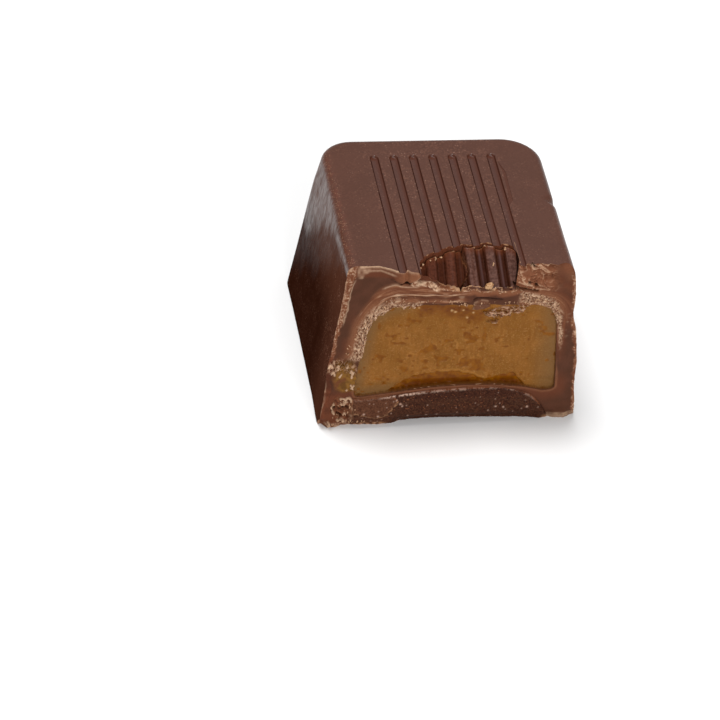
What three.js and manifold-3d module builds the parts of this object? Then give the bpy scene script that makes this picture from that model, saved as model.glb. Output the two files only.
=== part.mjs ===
import * as THREE from 'three';
import { mergeVertices } from 'three/addons/utils/BufferGeometryUtils.js';
import Module from 'manifold-3d';

// A filled chocolate bar with its front half bitten away, in millimetres, +Z up.
// It rests on its flat underside. X runs across the bar and Y along it.
// While it is built, Y = 0 is the mean plane of the bite and the moulded end is at +Y.

const { degToRad, lerp, smoothstep } = THREE.MathUtils;

// The moulded bar before the bite.
const bar = {
  length: 46.1,
  width: 24,
  height: 16.4,
  draft: degToRad(6.35),
  cornerRadius: 2.2,
  topCornerRadius: 3.2,
  topCornersFrom: 12,
  edgeRadius: 0.85,
  back: 22.94,
};

// Grooves run along the top, in the middle, and stop short of both ends.
const grooves = {
  count: 7,
  pitch: 1.82,
  width: 0.66,
  depth: 0.2,
  centre: 0,
  endMargin: 4.6,
  endSlope: 0.35,
};

// The caramel, as a section across the bar, and where it stops short of the moulded end.
const filling = {
  left: -9.0,
  leftShoulder: -8.35,
  right: 9.55,
  rightShoulder: 9.05,
  floor: 3.1,
  crown: 3.9,
  top: 12.45,
  leftRadius: 3.6,
  rightRadius: 1.7,
  footRadius: 0.45,
  endWall: 4.4,
  endRounding: 1.5,
};

// The layer that closes the bar underneath, thinner towards its right-hand seam.
const base = {
  left: -9.1,
  right: 9.15,
  edge: 2.75,
  crown: 3.62,
  seamTop: [7.3, 2.55],
  seamBulge: [8.7, 1.5],
  endWall: 2.9,
};

// The bite leans back at the top, and more so on the left.
const bite = {
  offset: -0.74,
  lean: 0.089,
  skew: 0.036,
  twist: -0.0054,
  reach: 40,
  step: 0.5,
};

// The place where a front tooth broke the top plate and pressed it down.
const notch = {
  left: -3.85,
  right: 5.4,
  depth: 4.3,
  roundness: 2.7,
  slope: degToRad(30),
  rim: 0.35,
  leftDrop: 0.35,
  leftWear: 0.9,
  ripple: 0.12,
  crackAt: 0.7,
  front: -4,
  rows: 9,
  step: 0.45,
};

// A thin lip of the top plate stands out over a crack, left of the notch.
const lip = {
  from: -7,
  tip: -3.85,
  proud: 1.1,
  underside: 15.2,
  crackDepth: 0.8,
  crackFrom: -6.2,
  crackHalf: 0.3,
};

// A loose flake of the top plate, right of the notch, set back at its top and lifted over a crack.
const flake = {
  from: 5.1,
  to: 8.2,
  proud: 0.25,
  setBack: 0.95,
  underside: 14.2,
  top: 16.4,
  crackDepth: 0.6,
  crackHalf: 0.3,
};

const faceLevels = { fillingHollow: 0.25, baseProud: 0.2, ripple: 0.1 };

// The foot of the broken face is worn back, most in the middle of the bar.
const footWear = { left: 0.35, middle: 0.85, right: 0, height: 1.6 };

// A pit with crumbs, low on the left wall, where the caramel has been dragged outwards.
const pit = { x: -10.4, z: 2.3, radius: 0.95, depth: 0.7 };

// Crags crowd the broken chocolate up the left of the caramel and over its top.
const crags = {
  count: 150,
  seed: 4211,
  least: 0.45,
  most: 1.1,
  height: 0.38,
  onWall: 0.4,
  wall: { from: 1.5, to: 12, x: -9.6, lean: 0.09 },
  top: { from: -8, to: 9.5, z: 13.1 },
  aside: 0.9,
};

const gap = 0.28;

const colours = { shell: 0x5b342b, caramel: 0xa8702f, base: 0x4a2c27 };

const wasm = await Module();
wasm.setup();

function toSolid(geometry) {
  geometry.deleteAttribute('normal');
  geometry.deleteAttribute('uv');
  const merged = mergeVertices(geometry, 1e-4);
  const mesh = new wasm.Mesh({
    numProp: 3,
    vertProperties: new Float32Array(merged.attributes.position.array),
    triVerts: new Uint32Array(merged.index.array),
  });
  return new wasm.Manifold(mesh);
}

function toGeometry(solid) {
  const mesh = solid.getMesh();
  const geometry = new THREE.BufferGeometry();
  geometry.setAttribute('position', new THREE.BufferAttribute(new Float32Array(mesh.vertProperties), 3));
  geometry.setIndex(new THREE.BufferAttribute(new Uint32Array(mesh.triVerts), 1));
  geometry.computeVertexNormals();
  return geometry;
}

// A closed body through level rings of points, each counter-clockwise seen from above.
function loft(rings) {
  const size = rings[0].length;
  const points = rings.flat();
  const index = [];
  for (let ring = 0; ring + 1 < rings.length; ring += 1) {
    for (let i = 0; i < size; i += 1) {
      const a = ring * size + i;
      const b = ring * size + ((i + 1) % size);
      index.push(a, b, b + size, a, b + size, a + size);
    }
  }
  const last = (rings.length - 1) * size;
  for (const [a, b, c] of THREE.ShapeUtils.triangulateShape(rings[0], [])) {
    index.push(a, c, b);
  }
  for (const [a, b, c] of THREE.ShapeUtils.triangulateShape(rings.at(-1), [])) {
    index.push(last + a, last + b, last + c);
  }
  const geometry = new THREE.BufferGeometry().setFromPoints(points);
  geometry.setIndex(index);
  return geometry;
}

// A closed slab between two sheets over the same grid, the second sheet on the outer side.
function slab(us, vs, inner, outer) {
  const points = [];
  for (const sheet of [inner, outer]) {
    for (const v of vs) {
      for (const u of us) {
        points.push(sheet(u, v));
      }
    }
  }
  const at = (sheet, i, j) => sheet * us.length * vs.length + j * us.length + i;
  const index = [];
  const quad = (a, b, c, d) => index.push(a, b, c, a, c, d);
  for (let j = 0; j + 1 < vs.length; j += 1) {
    for (let i = 0; i + 1 < us.length; i += 1) {
      quad(at(0, i, j), at(0, i, j + 1), at(0, i + 1, j + 1), at(0, i + 1, j));
      quad(at(1, i, j), at(1, i + 1, j), at(1, i + 1, j + 1), at(1, i, j + 1));
    }
  }
  const lastU = us.length - 1;
  const lastV = vs.length - 1;
  for (let i = 0; i < lastU; i += 1) {
    quad(at(0, i, 0), at(0, i + 1, 0), at(1, i + 1, 0), at(1, i, 0));
    quad(at(0, i + 1, lastV), at(0, i, lastV), at(1, i, lastV), at(1, i + 1, lastV));
  }
  for (let j = 0; j < lastV; j += 1) {
    quad(at(0, 0, j + 1), at(0, 0, j), at(1, 0, j), at(1, 0, j + 1));
    quad(at(0, lastU, j), at(0, lastU, j + 1), at(1, lastU, j + 1), at(1, lastU, j));
  }
  const geometry = new THREE.BufferGeometry().setFromPoints(points);
  geometry.setIndex(index);
  return geometry;
}

function spread(from, to, step) {
  const count = Math.ceil((to - from) / step);
  return Array.from({ length: count + 1 }, (_, i) => lerp(from, to, i / count));
}

// The plan outline of the bar at one height, drawn in from the foot by the inset.
// Its corners are rounder at the top, and the rounded top edge runs in round them.
function planRing(inset, height) {
  const stepsPerCorner = 7;
  const rounder = smoothstep(height, bar.topCornersFrom, bar.height);
  const withinEdge = inset - height * Math.tan(bar.draft);
  const radius = lerp(bar.cornerRadius, bar.topCornerRadius, rounder) - withinEdge;
  const halfWidth = bar.width / 2 - inset;
  const halfLength = bar.length / 2 - inset;
  const middle = bar.back - bar.length / 2;
  const ring = [];
  const corners = [[1, 1], [-1, 1], [-1, -1], [1, -1]];
  corners.forEach(([sideX, sideY], quarter) => {
    for (let i = 0; i <= stepsPerCorner; i += 1) {
      const turn = (quarter + i / stepsPerCorner) * (Math.PI / 2);
      const x = sideX * (halfWidth - radius) + radius * Math.cos(turn);
      const y = middle + sideY * (halfLength - radius) + radius * Math.sin(turn);
      ring.push(new THREE.Vector3(x, y, height));
    }
  });
  return ring;
}

// The drafted block with its rounded top edge.
function mouldedBlock() {
  const { draft, edgeRadius, height } = bar;
  const arcSteps = 5;
  const centreHeight = height - edgeRadius;
  const centreInset = centreHeight * Math.tan(draft) + edgeRadius / Math.cos(draft);
  const rings = [planRing(0, 0), planRing(bar.topCornersFrom * Math.tan(draft), bar.topCornersFrom)];
  for (let i = 0; i <= arcSteps; i += 1) {
    const turn = lerp(draft, Math.PI / 2, i / arcSteps);
    const inset = centreInset - edgeRadius * Math.cos(turn);
    rings.push(planRing(inset, centreHeight + edgeRadius * Math.sin(turn)));
  }
  return toSolid(loft(rings));
}

function grooveCentres() {
  const middle = (grooves.count - 1) / 2;
  return Array.from({ length: grooves.count }, (_, i) => grooves.centre + (i - middle) * grooves.pitch);
}

// One groove: a flat-bottomed channel whose ends slope up to the top face.
function grooveCutter(x) {
  const top = bar.height + 1;
  const floor = bar.height - grooves.depth;
  const back = bar.back - grooves.endMargin;
  const front = bar.back - bar.length + grooves.endMargin;
  const run = new THREE.Shape();
  run.moveTo(-back, top);
  run.lineTo(-back, bar.height);
  run.lineTo(-back + grooves.endSlope, floor);
  run.lineTo(-front - grooves.endSlope, floor);
  run.lineTo(-front, bar.height);
  run.lineTo(-front, top);
  const channel = new THREE.ExtrudeGeometry(run, { depth: grooves.width, bevelEnabled: false });
  channel.rotateX(Math.PI / 2);
  channel.rotateZ(-Math.PI / 2);
  channel.computeBoundingBox();
  channel.translate(x - grooves.width / 2 - channel.boundingBox.min.x, 0, 0);
  return toSolid(channel);
}

function fillingSection() {
  const { left, leftShoulder, right, rightShoulder, floor, crown, top } = filling;
  const { leftRadius, rightRadius, footRadius } = filling;
  const section = new THREE.Shape();
  section.moveTo(left + footRadius, floor);
  section.bezierCurveTo(left * 0.5, floor + 0.35, -2.6, crown, 1.2, crown);
  section.bezierCurveTo(4.6, crown, 6.6, floor + 0.55, right - 1.1, floor);
  section.quadraticCurveTo(right, floor, right, floor + footRadius);
  section.lineTo(rightShoulder, top - rightRadius);
  section.quadraticCurveTo(rightShoulder - 0.1, top, rightShoulder - rightRadius, top);
  section.lineTo(leftShoulder + leftRadius, top);
  section.quadraticCurveTo(leftShoulder + 0.35, top - 0.2, leftShoulder, top - leftRadius);
  section.lineTo(left, floor + footRadius);
  section.quadraticCurveTo(left, floor, left + footRadius, floor);
  return section;
}

function baseSection() {
  const { left, right, edge, crown, seamTop, seamBulge } = base;
  const section = new THREE.Shape();
  section.moveTo(left, 0);
  section.lineTo(right, 0);
  section.quadraticCurveTo(...seamBulge, ...seamTop);
  section.bezierCurveTo(5.2, crown - 0.1, 3.6, crown, 1.2, crown);
  section.bezierCurveTo(-3.2, crown, left * 0.6, edge, left + 0.1, edge);
  section.lineTo(left, 0);
  return section;
}

// The section's points, counter-clockwise and moved outwards by a distance.
function sectionPoints(section, grown) {
  const points = section.getPoints(7);
  if (points[0].distanceTo(points.at(-1)) < 1e-6) {
    points.pop();
  }
  return points.map((point, i) => {
    const before = points.at(i - 1);
    const after = points[(i + 1) % points.length];
    const incoming = point.clone().sub(before).normalize();
    const outgoing = after.clone().sub(point).normalize();
    const tangent = incoming.clone().add(outgoing).normalize();
    const outwards = new THREE.Vector2(tangent.y, -tangent.x);
    return point.clone().addScaledVector(outwards, grown / Math.max(tangent.dot(outgoing), 0.5));
  });
}

// Runs a section along the bar between its end walls, with rounded ends, grown on every side.
function alongBar(section, endWall, rounding, grown) {
  const outline = sectionPoints(section, grown);
  const middle = new THREE.Box2().setFromPoints(outline).getCenter(new THREE.Vector2());
  const halfHeight = Math.max(...outline.map((point) => point.y - middle.y));
  const back = bar.back - endWall + grown;
  const front = bar.back - bar.length + endWall - grown;
  const arcSteps = 3;
  const ring = (share, distance) => {
    const scale = 1 - (rounding / halfHeight) * (1 - share);
    return outline.map((point) => {
      const { x, y } = point.clone().sub(middle).multiplyScalar(scale).add(middle);
      return new THREE.Vector3(x, y, distance);
    });
  };
  const turns = spread(0, Math.PI / 2, Math.PI / 2 / arcSteps);
  const nearBack = turns.map((turn) => ring(Math.sin(turn), -back + rounding * (1 - Math.cos(turn))));
  const nearFront = turns.map((turn) => ring(Math.cos(turn), -front - rounding * (1 - Math.sin(turn))));
  const geometry = loft([...nearBack, ...nearFront]);
  geometry.rotateX(Math.PI / 2);
  return toSolid(geometry);
}

function seededDraw(seed) {
  let state = seed;
  return () => {
    state = (Math.imul(state, 1664525) + 1013904223) >>> 0;
    return state / 4294967296;
  };
}

// Places and sizes of the crags, drawn from the seed.
function makeCrags() {
  const { wall, top } = crags;
  const draw = seededDraw(crags.seed);
  return Array.from({ length: crags.count }, () => {
    const along = draw();
    const aside = crags.aside * (draw() + draw() - 1);
    const wallHeight = lerp(wall.from, wall.to, along / crags.onWall);
    const topX = lerp(top.from, top.to, (along - crags.onWall) / (1 - crags.onWall));
    const onWall = along < crags.onWall;
    return {
      x: onWall ? wall.x + wall.lean * wallHeight + aside : topX,
      z: onWall ? wallHeight : top.z + aside,
      radius: lerp(crags.least, crags.most, draw()),
      height: crags.height * (draw() * 1.6 - 0.6),
    };
  });
}

const cragList = makeCrags();

function bump(x, z, centreX, centreZ, radius) {
  return Math.exp(-((x - centreX) ** 2 + (z - centreZ) ** 2) / (radius * radius));
}

// 1 between two places, falling softly to 0 over the fade outside them.
function between(value, from, to, fade) {
  return smoothstep(value, from - fade, from) * (1 - smoothstep(value, to, to + fade));
}

function crackAlong(z, level, half) {
  return Math.exp(-(((z - level) / half) ** 2));
}

function lipRelief(x, z) {
  const beside = 1 - smoothstep(x, lip.tip, lip.tip + 0.3);
  const out = lip.proud * smoothstep(x, lip.from, lip.tip);
  const overCrack = smoothstep(z, lip.underside - 0.15, lip.underside + 0.15);
  const crack = crackAlong(z, lip.underside - lip.crackHalf, lip.crackHalf);
  const cracked = smoothstep(x, lip.crackFrom, lip.crackFrom + 1);
  return beside * (out * overCrack - lip.crackDepth * crack * cracked);
}

function flakeRelief(x, z) {
  const across = between(x, flake.from + 0.2, flake.to - 1, 0.8);
  const overCrack = smoothstep(z, flake.underside - 0.15, flake.underside + 0.15);
  const tilt = flake.proud - flake.setBack * smoothstep(z, flake.underside, flake.top);
  const crack = crackAlong(z, flake.underside - flake.crackHalf, flake.crackHalf);
  return across * (tilt * overCrack - flake.crackDepth * crack);
}

function withinFilling(x, z) {
  const fade = 0.6;
  const across = between(x, filling.left + fade, filling.right - fade, fade);
  return across * between(z, filling.crown + fade, filling.top - fade, fade);
}

function withinBase(x, z) {
  const across = between(x, base.left + 0.5, base.right - 1.5, 1);
  return across * (1 - smoothstep(z, base.crown - 0.3, base.crown + 0.2));
}

function wornFoot(x, z) {
  const { left, middle, right, height } = footWear;
  const towardsMiddle = (middle - left) * smoothstep(x, -6, -3.5);
  const towardsRight = (middle - right) * smoothstep(x, -0.5, 8.5);
  return (left + towardsMiddle - towardsRight) * (1 - smoothstep(z, 0, height));
}

// How far the broken face stands out in front of its mean plane.
function relief(x, z) {
  let proud = lipRelief(x, z) + flakeRelief(x, z) - wornFoot(x, z);
  proud -= faceLevels.fillingHollow * withinFilling(x, z);
  proud += faceLevels.baseProud * withinBase(x, z);
  proud -= pit.depth * bump(x, z, pit.x, pit.z, pit.radius);
  const rough = 1 - withinFilling(x, z);
  for (const crag of cragList) {
    proud += rough * crag.height * bump(x, z, crag.x, crag.z, crag.radius);
  }
  return proud + faceLevels.ripple * Math.sin(1.9 * x + 0.7 * z) * Math.sin(1.3 * z - 0.6 * x);
}

function biteFace(x, z) {
  const plane = bite.offset + bite.lean * z + bite.skew * x + bite.twist * x * z;
  return plane - relief(x, z);
}

// Everything in front of the broken face.
function biteCutter() {
  const margin = 1;
  const acrossBar = spread(-bar.width / 2 - margin, bar.width / 2 + margin, bite.step);
  const upBar = spread(-margin, bar.height + margin, bite.step);
  const near = (x, z) => new THREE.Vector3(x, -bite.reach, z);
  const far = (x, z) => new THREE.Vector3(x, biteFace(x, z), z);
  return toSolid(slab(acrossBar, upBar, far, near));
}

function notchBack(x) {
  const middle = (notch.left + notch.right) / 2;
  const share = Math.abs((x - middle) / ((notch.right - notch.left) / 2));
  const arch = (1 - Math.min(share, 1) ** notch.roundness) ** (1 / notch.roundness);
  const worn = notch.leftWear * smoothstep(-x, -1, 3);
  return arch * (notch.depth - worn + notch.ripple * Math.sin(3.1 * x));
}

// The pressed-down plate keeps its grooves. Its left piece lies lower than its right one.
function pressedPlate(x, y) {
  const inGroove = grooveCentres().some((centre) => Math.abs(x - centre) < grooves.width / 2);
  const drop = x < notch.crackAt ? notch.leftDrop : 0;
  const slope = Math.tan(notch.slope) * (notchBack(x) - y);
  return bar.height - notch.rim - drop - slope - (inGroove ? grooves.depth : 0);
}

// Breaks of the plate's profile across X: both sides of each groove and of the crack.
function notchStations() {
  const sharp = 0.04;
  const breaks = [notch.crackAt];
  for (const centre of grooveCentres()) {
    breaks.push(centre - grooves.width / 2, centre + grooves.width / 2);
  }
  const inside = breaks.filter((x) => x > notch.left + 0.2 && x < notch.right - 0.2);
  const stations = inside.flatMap((x) => [x - sharp, x + sharp]);
  for (const x of spread(notch.left, notch.right, notch.step)) {
    if (inside.every((other) => Math.abs(other - x) > 0.15)) {
      stations.push(x);
    }
  }
  return stations.sort((a, b) => a - b);
}

function notchCutter() {
  const shares = spread(0, 1, 1 / notch.rows);
  const along = (x, share) => lerp(notch.front, notchBack(x), share);
  const plate = (x, share) => new THREE.Vector3(x, along(x, share), pressedPlate(x, along(x, share)));
  const above = (x, share) => new THREE.Vector3(x, along(x, share), bar.height + 2);
  return toSolid(slab(notchStations(), shares, plate, above));
}

function makeShell(bitten) {
  let shell = mouldedBlock();
  for (const x of grooveCentres()) {
    shell = shell.subtract(grooveCutter(x));
  }
  const fillingRoom = alongBar(fillingSection(), filling.endWall, filling.endRounding, gap);
  const baseRoom = alongBar(baseSection(), base.endWall, 0.3, gap);
  return shell.subtract(fillingRoom).subtract(baseRoom).subtract(bitten).subtract(notchCutter());
}

function makeFilling(bitten) {
  return alongBar(fillingSection(), filling.endWall, filling.endRounding, 0).subtract(bitten);
}

function makeBase(bitten) {
  return alongBar(baseSection(), base.endWall, 0.3, 0).subtract(bitten);
}

function named(name, solid, color, roughness) {
  const material = new THREE.MeshStandardMaterial({ color, roughness, metalness: 0 });
  const mesh = new THREE.Mesh(toGeometry(solid), material);
  mesh.name = name;
  return mesh;
}

function makeBar() {
  const bitten = biteCutter();
  const chocolateBar = new THREE.Group();
  chocolateBar.add(named('shell', makeShell(bitten), colours.shell, 0.5));
  chocolateBar.add(named('caramel_filling', makeFilling(bitten), colours.caramel, 0.4));
  chocolateBar.add(named('base_layer', makeBase(bitten), colours.base, 0.6));
  const box = new THREE.Box3().setFromObject(chocolateBar);
  chocolateBar.position.set(0, -(box.min.y + box.max.y) / 2, 0);
  return chocolateBar;
}

export default makeBar();
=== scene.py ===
import math

import bpy
import numpy as np
from mathutils import Matrix, Vector


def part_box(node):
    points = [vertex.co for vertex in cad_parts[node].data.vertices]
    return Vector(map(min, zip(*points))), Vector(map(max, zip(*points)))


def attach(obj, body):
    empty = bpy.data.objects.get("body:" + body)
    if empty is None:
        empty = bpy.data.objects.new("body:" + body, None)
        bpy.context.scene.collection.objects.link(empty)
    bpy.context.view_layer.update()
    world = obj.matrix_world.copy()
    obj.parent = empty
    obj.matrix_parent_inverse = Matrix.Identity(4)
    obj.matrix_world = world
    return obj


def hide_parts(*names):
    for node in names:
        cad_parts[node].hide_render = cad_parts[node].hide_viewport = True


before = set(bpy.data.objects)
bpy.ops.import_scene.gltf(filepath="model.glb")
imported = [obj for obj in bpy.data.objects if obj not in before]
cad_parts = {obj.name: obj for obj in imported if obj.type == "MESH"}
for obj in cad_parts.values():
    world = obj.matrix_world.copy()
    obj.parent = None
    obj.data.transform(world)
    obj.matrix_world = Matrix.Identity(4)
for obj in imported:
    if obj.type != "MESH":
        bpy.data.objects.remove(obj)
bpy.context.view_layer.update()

# A filled chocolate bar with its front half bitten away. Shapes are worked out in millimetres, with Y = 0
# on the mean plane of the bite, and moved into the frame's metres when a mesh is made.
MM = 0.001

BAR = dict(width=24.0, height=16.4, draft=math.radians(6.35), corner=2.2, left_top_corner=2.9,
           right_top_corner=3.5, corners_from=12.0, edge=0.85, back=22.94, front=-4.0)
GROOVES = dict(count=7, pitch=1.815, top_width=0.86, floor_width=0.6, depth=0.2, end_margin=4.6)
BITE = dict(offset=-0.74, lean=0.089, skew=0.036, twist=-0.0054, step=0.065)

PLACE_Y = (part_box("shell")[1].y / MM) - BAR["back"]
GROOVE_END = BAR["back"] - GROOVES["end_margin"]

VIEW = dict(azimuth=-11.61, elevation=36.87, roll=5.55, distance=416.6, lens=226.9, centre_px=(436.8, 274.5))
FRAME_PX = 720
SENSOR = 36.0


def eased(share):
    """The share with a soft start and a soft end."""
    return share * share * (3 - 2 * share)


def smooth(x, low, high):
    """0 below low, 1 above high, and a soft step between them."""
    return eased(np.clip((np.asarray(x, float) - low) / (high - low), 0.0, 1.0))


def below(x, limit, fade):
    """0 above the limit, and 1 from the fade's width below it."""
    return smooth(limit - x, 0, fade)


def hump(x, middle, width):
    """1 at the middle, falling off softly within the width on either side."""
    return np.exp(-(((np.asarray(x, float) - middle) / width) ** 2))


def most(first, *others):
    """The largest of several numbers at each place."""
    for other in others:
        first = np.maximum(first, other)
    return first


# ---------------------------------------------------------------- noise

MIXERS = (374761393, 668265263, 1442695041, 1274126177, 2246822519)
WORD = 0xFFFFFFFF


def lattice(ix, iy, seed):
    """A repeatable number from 0 to 1 for each whole-numbered place."""
    across, along, seeded, first, second = MIXERS
    h = (ix.astype(np.int64) * across + iy.astype(np.int64) * along + seed * seeded) & WORD
    h = ((h ^ (h >> 13)) * first) & WORD
    h = ((h ^ (h >> 16)) * second) & WORD
    return (h ^ (h >> 15)) / WORD


def noise(x, y, size, seed):
    """Soft noise from -1 to 1 whose lumps are about size across."""
    u, v = np.asarray(x) / size, np.asarray(y) / size
    iu, iv = np.floor(u), np.floor(v)
    fu, fv = eased(u - iu), eased(v - iv)
    a, b = lattice(iu, iv, seed), lattice(iu + 1, iv, seed)
    c, d = lattice(iu, iv + 1, seed), lattice(iu + 1, iv + 1, seed)
    return 2 * ((a + (b - a) * fu) * (1 - fv) + (c + (d - c) * fu) * fv) - 1


def rough(x, y, size, seed, octaves=3):
    """Noise with finer noise on it."""
    total, strength = 0.0, 1.0
    for octave in range(octaves):
        turn = 0.6 + octave
        across = x * math.cos(turn) - y * math.sin(turn)
        along = x * math.sin(turn) + y * math.cos(turn)
        total = total + strength * noise(across, along, size / 2**octave, seed + 17 * octave)
        strength *= 0.5
    return total / 1.75


def lumps(x, y, size, seed):
    """Round lumps crowded together: the height over them, 0 in the clefts, and each lump's own number."""
    u, v = np.asarray(x) / size, np.asarray(y) / size
    iu, iv = np.floor(u), np.floor(v)
    nearest = np.full(u.shape, 9.0)
    own = np.zeros(u.shape)
    for du in (-1, 0, 1):
        for dv in (-1, 0, 1):
            cu, cv = iu + du, iv + dv
            away_u = u - cu - 0.1 - 0.8 * lattice(cu, cv, seed)
            away_v = v - cv - 0.1 - 0.8 * lattice(cu, cv, seed + 1)
            away = np.hypot(away_u, away_v) * (0.85 + 0.5 * lattice(cu, cv, seed + 2))
            closer = away < nearest
            nearest = np.where(closer, away, nearest)
            own = np.where(closer, lattice(cu, cv, seed + 3), own)
    return np.clip(1.15 - 1.3 * nearest, 0, 1), own


def strands(x, y, size, seed):
    """A crumbly net of thin ridges: 1 on the ridges and 0 in the holes between them."""
    u = x + 0.5 * size * noise(x, y, size * 1.2, seed + 5)
    v = y + 0.5 * size * noise(y, x, size * 1.2, seed + 6)
    wide = 1 - 2.4 * np.abs(noise(u, v, size, seed))
    narrow = 0.85 - 2.0 * np.abs(noise(u + 7, v, size * 0.55, seed + 1))
    return np.clip(np.maximum(wide, narrow), 0, 1)


# ---------------------------------------------------------------- camera and stage

FLOOR = dict(reach=1.5, grey=0.86)
SKY = 0.35
LIGHTS = dict(overhead=dict(place=(-0.08, 0.15, 0.6), size=0.32, watts=3.4),
              front=dict(place=(0.1, -0.55, 0.3), size=0.4, watts=2.2))


def add_object(name, data):
    """Makes an object of the data and puts it in the scene."""
    made = bpy.data.objects.new(name, data)
    bpy.context.scene.collection.objects.link(made)
    return made


def make_camera():
    """Places the camera so that the middle of the bar shows at its pixel of the 720-pixel frame."""
    azimuth, elevation, roll = (math.radians(VIEW[name]) for name in ("azimuth", "elevation", "roll"))
    flat = math.cos(elevation)
    back = Vector((math.sin(azimuth) * flat, -math.cos(azimuth) * flat, math.sin(elevation)))
    level_right = Vector((math.cos(azimuth), math.sin(azimuth), 0))
    level_up = back.cross(level_right)
    right = level_right * math.cos(roll) + level_up * math.sin(roll)
    up = level_up * math.cos(roll) - level_right * math.sin(roll)
    mm_per_px = VIEW["distance"] * SENSOR / (VIEW["lens"] * FRAME_PX)
    aside = (VIEW["centre_px"][0] - FRAME_PX / 2) * mm_per_px
    above = (FRAME_PX / 2 - VIEW["centre_px"][1]) * mm_per_px
    place = Vector((0, 0, BAR["height"] / 2)) + back * VIEW["distance"] - right * aside - up * above
    data = bpy.data.cameras.new("camera")
    data.lens = VIEW["lens"]
    data.sensor_width = SENSOR
    data.clip_end = 10
    camera = add_object("camera", data)
    camera.matrix_world = Matrix.Translation(place * MM) @ Matrix((right, up, back)).transposed().to_4x4()
    bpy.context.scene.camera = camera


def area_light(name, place, size, watts):
    """A soft round light that faces the bar."""
    data = bpy.data.lights.new(name, "AREA")
    data.shape = "DISK"
    data.size = size
    data.energy = watts
    aim = Vector((0, 0, 0.01)) - Vector(place)
    turn = aim.to_track_quat("-Z", "Y").to_matrix().to_4x4()
    add_object(name, data).matrix_world = Matrix.Translation(place) @ turn


def make_stage():
    """Pale paper under the bar, white light from all round, and two soft lights."""
    reach, grey = FLOOR["reach"], FLOOR["grey"]
    mesh = bpy.data.meshes.new("floor")
    corners = [(-reach, -reach, 0), (reach, -reach, 0), (reach, reach, 0), (-reach, reach, 0)]
    mesh.from_pydata(corners, [], [(0, 1, 2, 3)])
    material = bpy.data.materials.new("floor_paper")
    material.use_nodes = True
    shader = material.node_tree.nodes["Principled BSDF"]
    shader.inputs["Base Color"].default_value = (grey, grey, grey, 1)
    shader.inputs["Roughness"].default_value = 0.9
    mesh.materials.append(material)
    floor = add_object("floor", mesh)
    world = bpy.data.worlds.new("studio")
    bpy.context.scene.world = world
    world.use_nodes = True
    world.node_tree.nodes["Background"].inputs["Color"].default_value = (1, 1, 1, 1)
    world.node_tree.nodes["Background"].inputs["Strength"].default_value = SKY
    for name, light in LIGHTS.items():
        area_light(name, **light)
    bpy.context.scene.view_settings.view_transform = "Standard"


# ---------------------------------------------------------------- meshes


def make_mesh(name, points, faces):
    """A mesh object from points in millimetres, in the bar's own place."""
    points = np.asarray(points, float) + np.array([0, PLACE_Y, 0])
    mesh = bpy.data.meshes.new(name)
    mesh.from_pydata((points * MM).tolist(), [], [list(face) for face in faces])
    mesh.update()
    return add_object(name, mesh)


def loft(rings):
    """Points and faces of a closed body through rings, each counter-clockwise seen from the last ring."""
    rings = np.asarray(rings, float)
    count, size = rings.shape[:2]
    at = np.arange(count * size).reshape(count, size)
    beside_at = np.roll(at, -1, 1)
    faces = [list(face)
             for face in np.stack([at[:-1], beside_at[:-1], beside_at[1:], at[1:]], -1).reshape(-1, 4)]
    return rings.reshape(-1, 3), faces + [list(at[0][::-1]), list(at[-1])]


def slab(inner, outer):
    """Points and faces of a closed slab between two grids of points, the second on the outer side."""
    rows, columns = inner.shape[:2]
    at = np.arange(rows * columns).reshape(rows, columns)
    top = at + rows * columns
    quads = [
        [at[:-1, :-1], at[1:, :-1], at[1:, 1:], at[:-1, 1:]],
        [top[:-1, :-1], top[:-1, 1:], top[1:, 1:], top[1:, :-1]],
        [at[0, :-1], at[0, 1:], top[0, 1:], top[0, :-1]],
        [at[-1, 1:], at[-1, :-1], top[-1, :-1], top[-1, 1:]],
        [at[1:, 0], at[:-1, 0], top[:-1, 0], top[1:, 0]],
        [at[:-1, -1], at[1:, -1], top[1:, -1], top[:-1, -1]],
    ]
    points = np.concatenate([inner.reshape(-1, 3), outer.reshape(-1, 3)])
    return points, np.concatenate([np.stack(quad, -1).reshape(-1, 4) for quad in quads])


def under_level(surface, level):
    """Points and faces of a slab from a grid of points up to a level height."""
    above = surface.copy()
    above[..., 2] = level
    return slab(surface, above)


def cut(piece, *cutters):
    """Takes the cutters out of the piece, and removes them."""
    for cutter in cutters:
        modifier = piece.modifiers.new("cut", "BOOLEAN")
        modifier.operation = "DIFFERENCE"
        modifier.solver = "MANIFOLD"
        modifier.object = cutter
    apply_modifiers(piece)
    for cutter in cutters:
        bpy.data.objects.remove(cutter)
    return piece


def apply_modifiers(piece):
    """Turns the piece with its modifiers into a plain mesh."""
    bpy.context.view_layer.update()
    evaluated = piece.evaluated_get(bpy.context.evaluated_depsgraph_get())
    mesh = bpy.data.meshes.new_from_object(evaluated)
    piece.modifiers.clear()
    old = piece.data
    piece.data = mesh
    bpy.data.meshes.remove(old)


def store(piece, domain="POINT", **shares):
    """Keeps numbers from 0 to 1 for each point or face of the piece, for its material or its node tree."""
    for name, share in shares.items():
        kept = piece.data.attributes.new(name, "FLOAT", domain)
        kept.data.foreach_set("value", np.clip(share, 0, 1).astype(np.float32))


# ---------------------------------------------------------------- node trees


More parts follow.
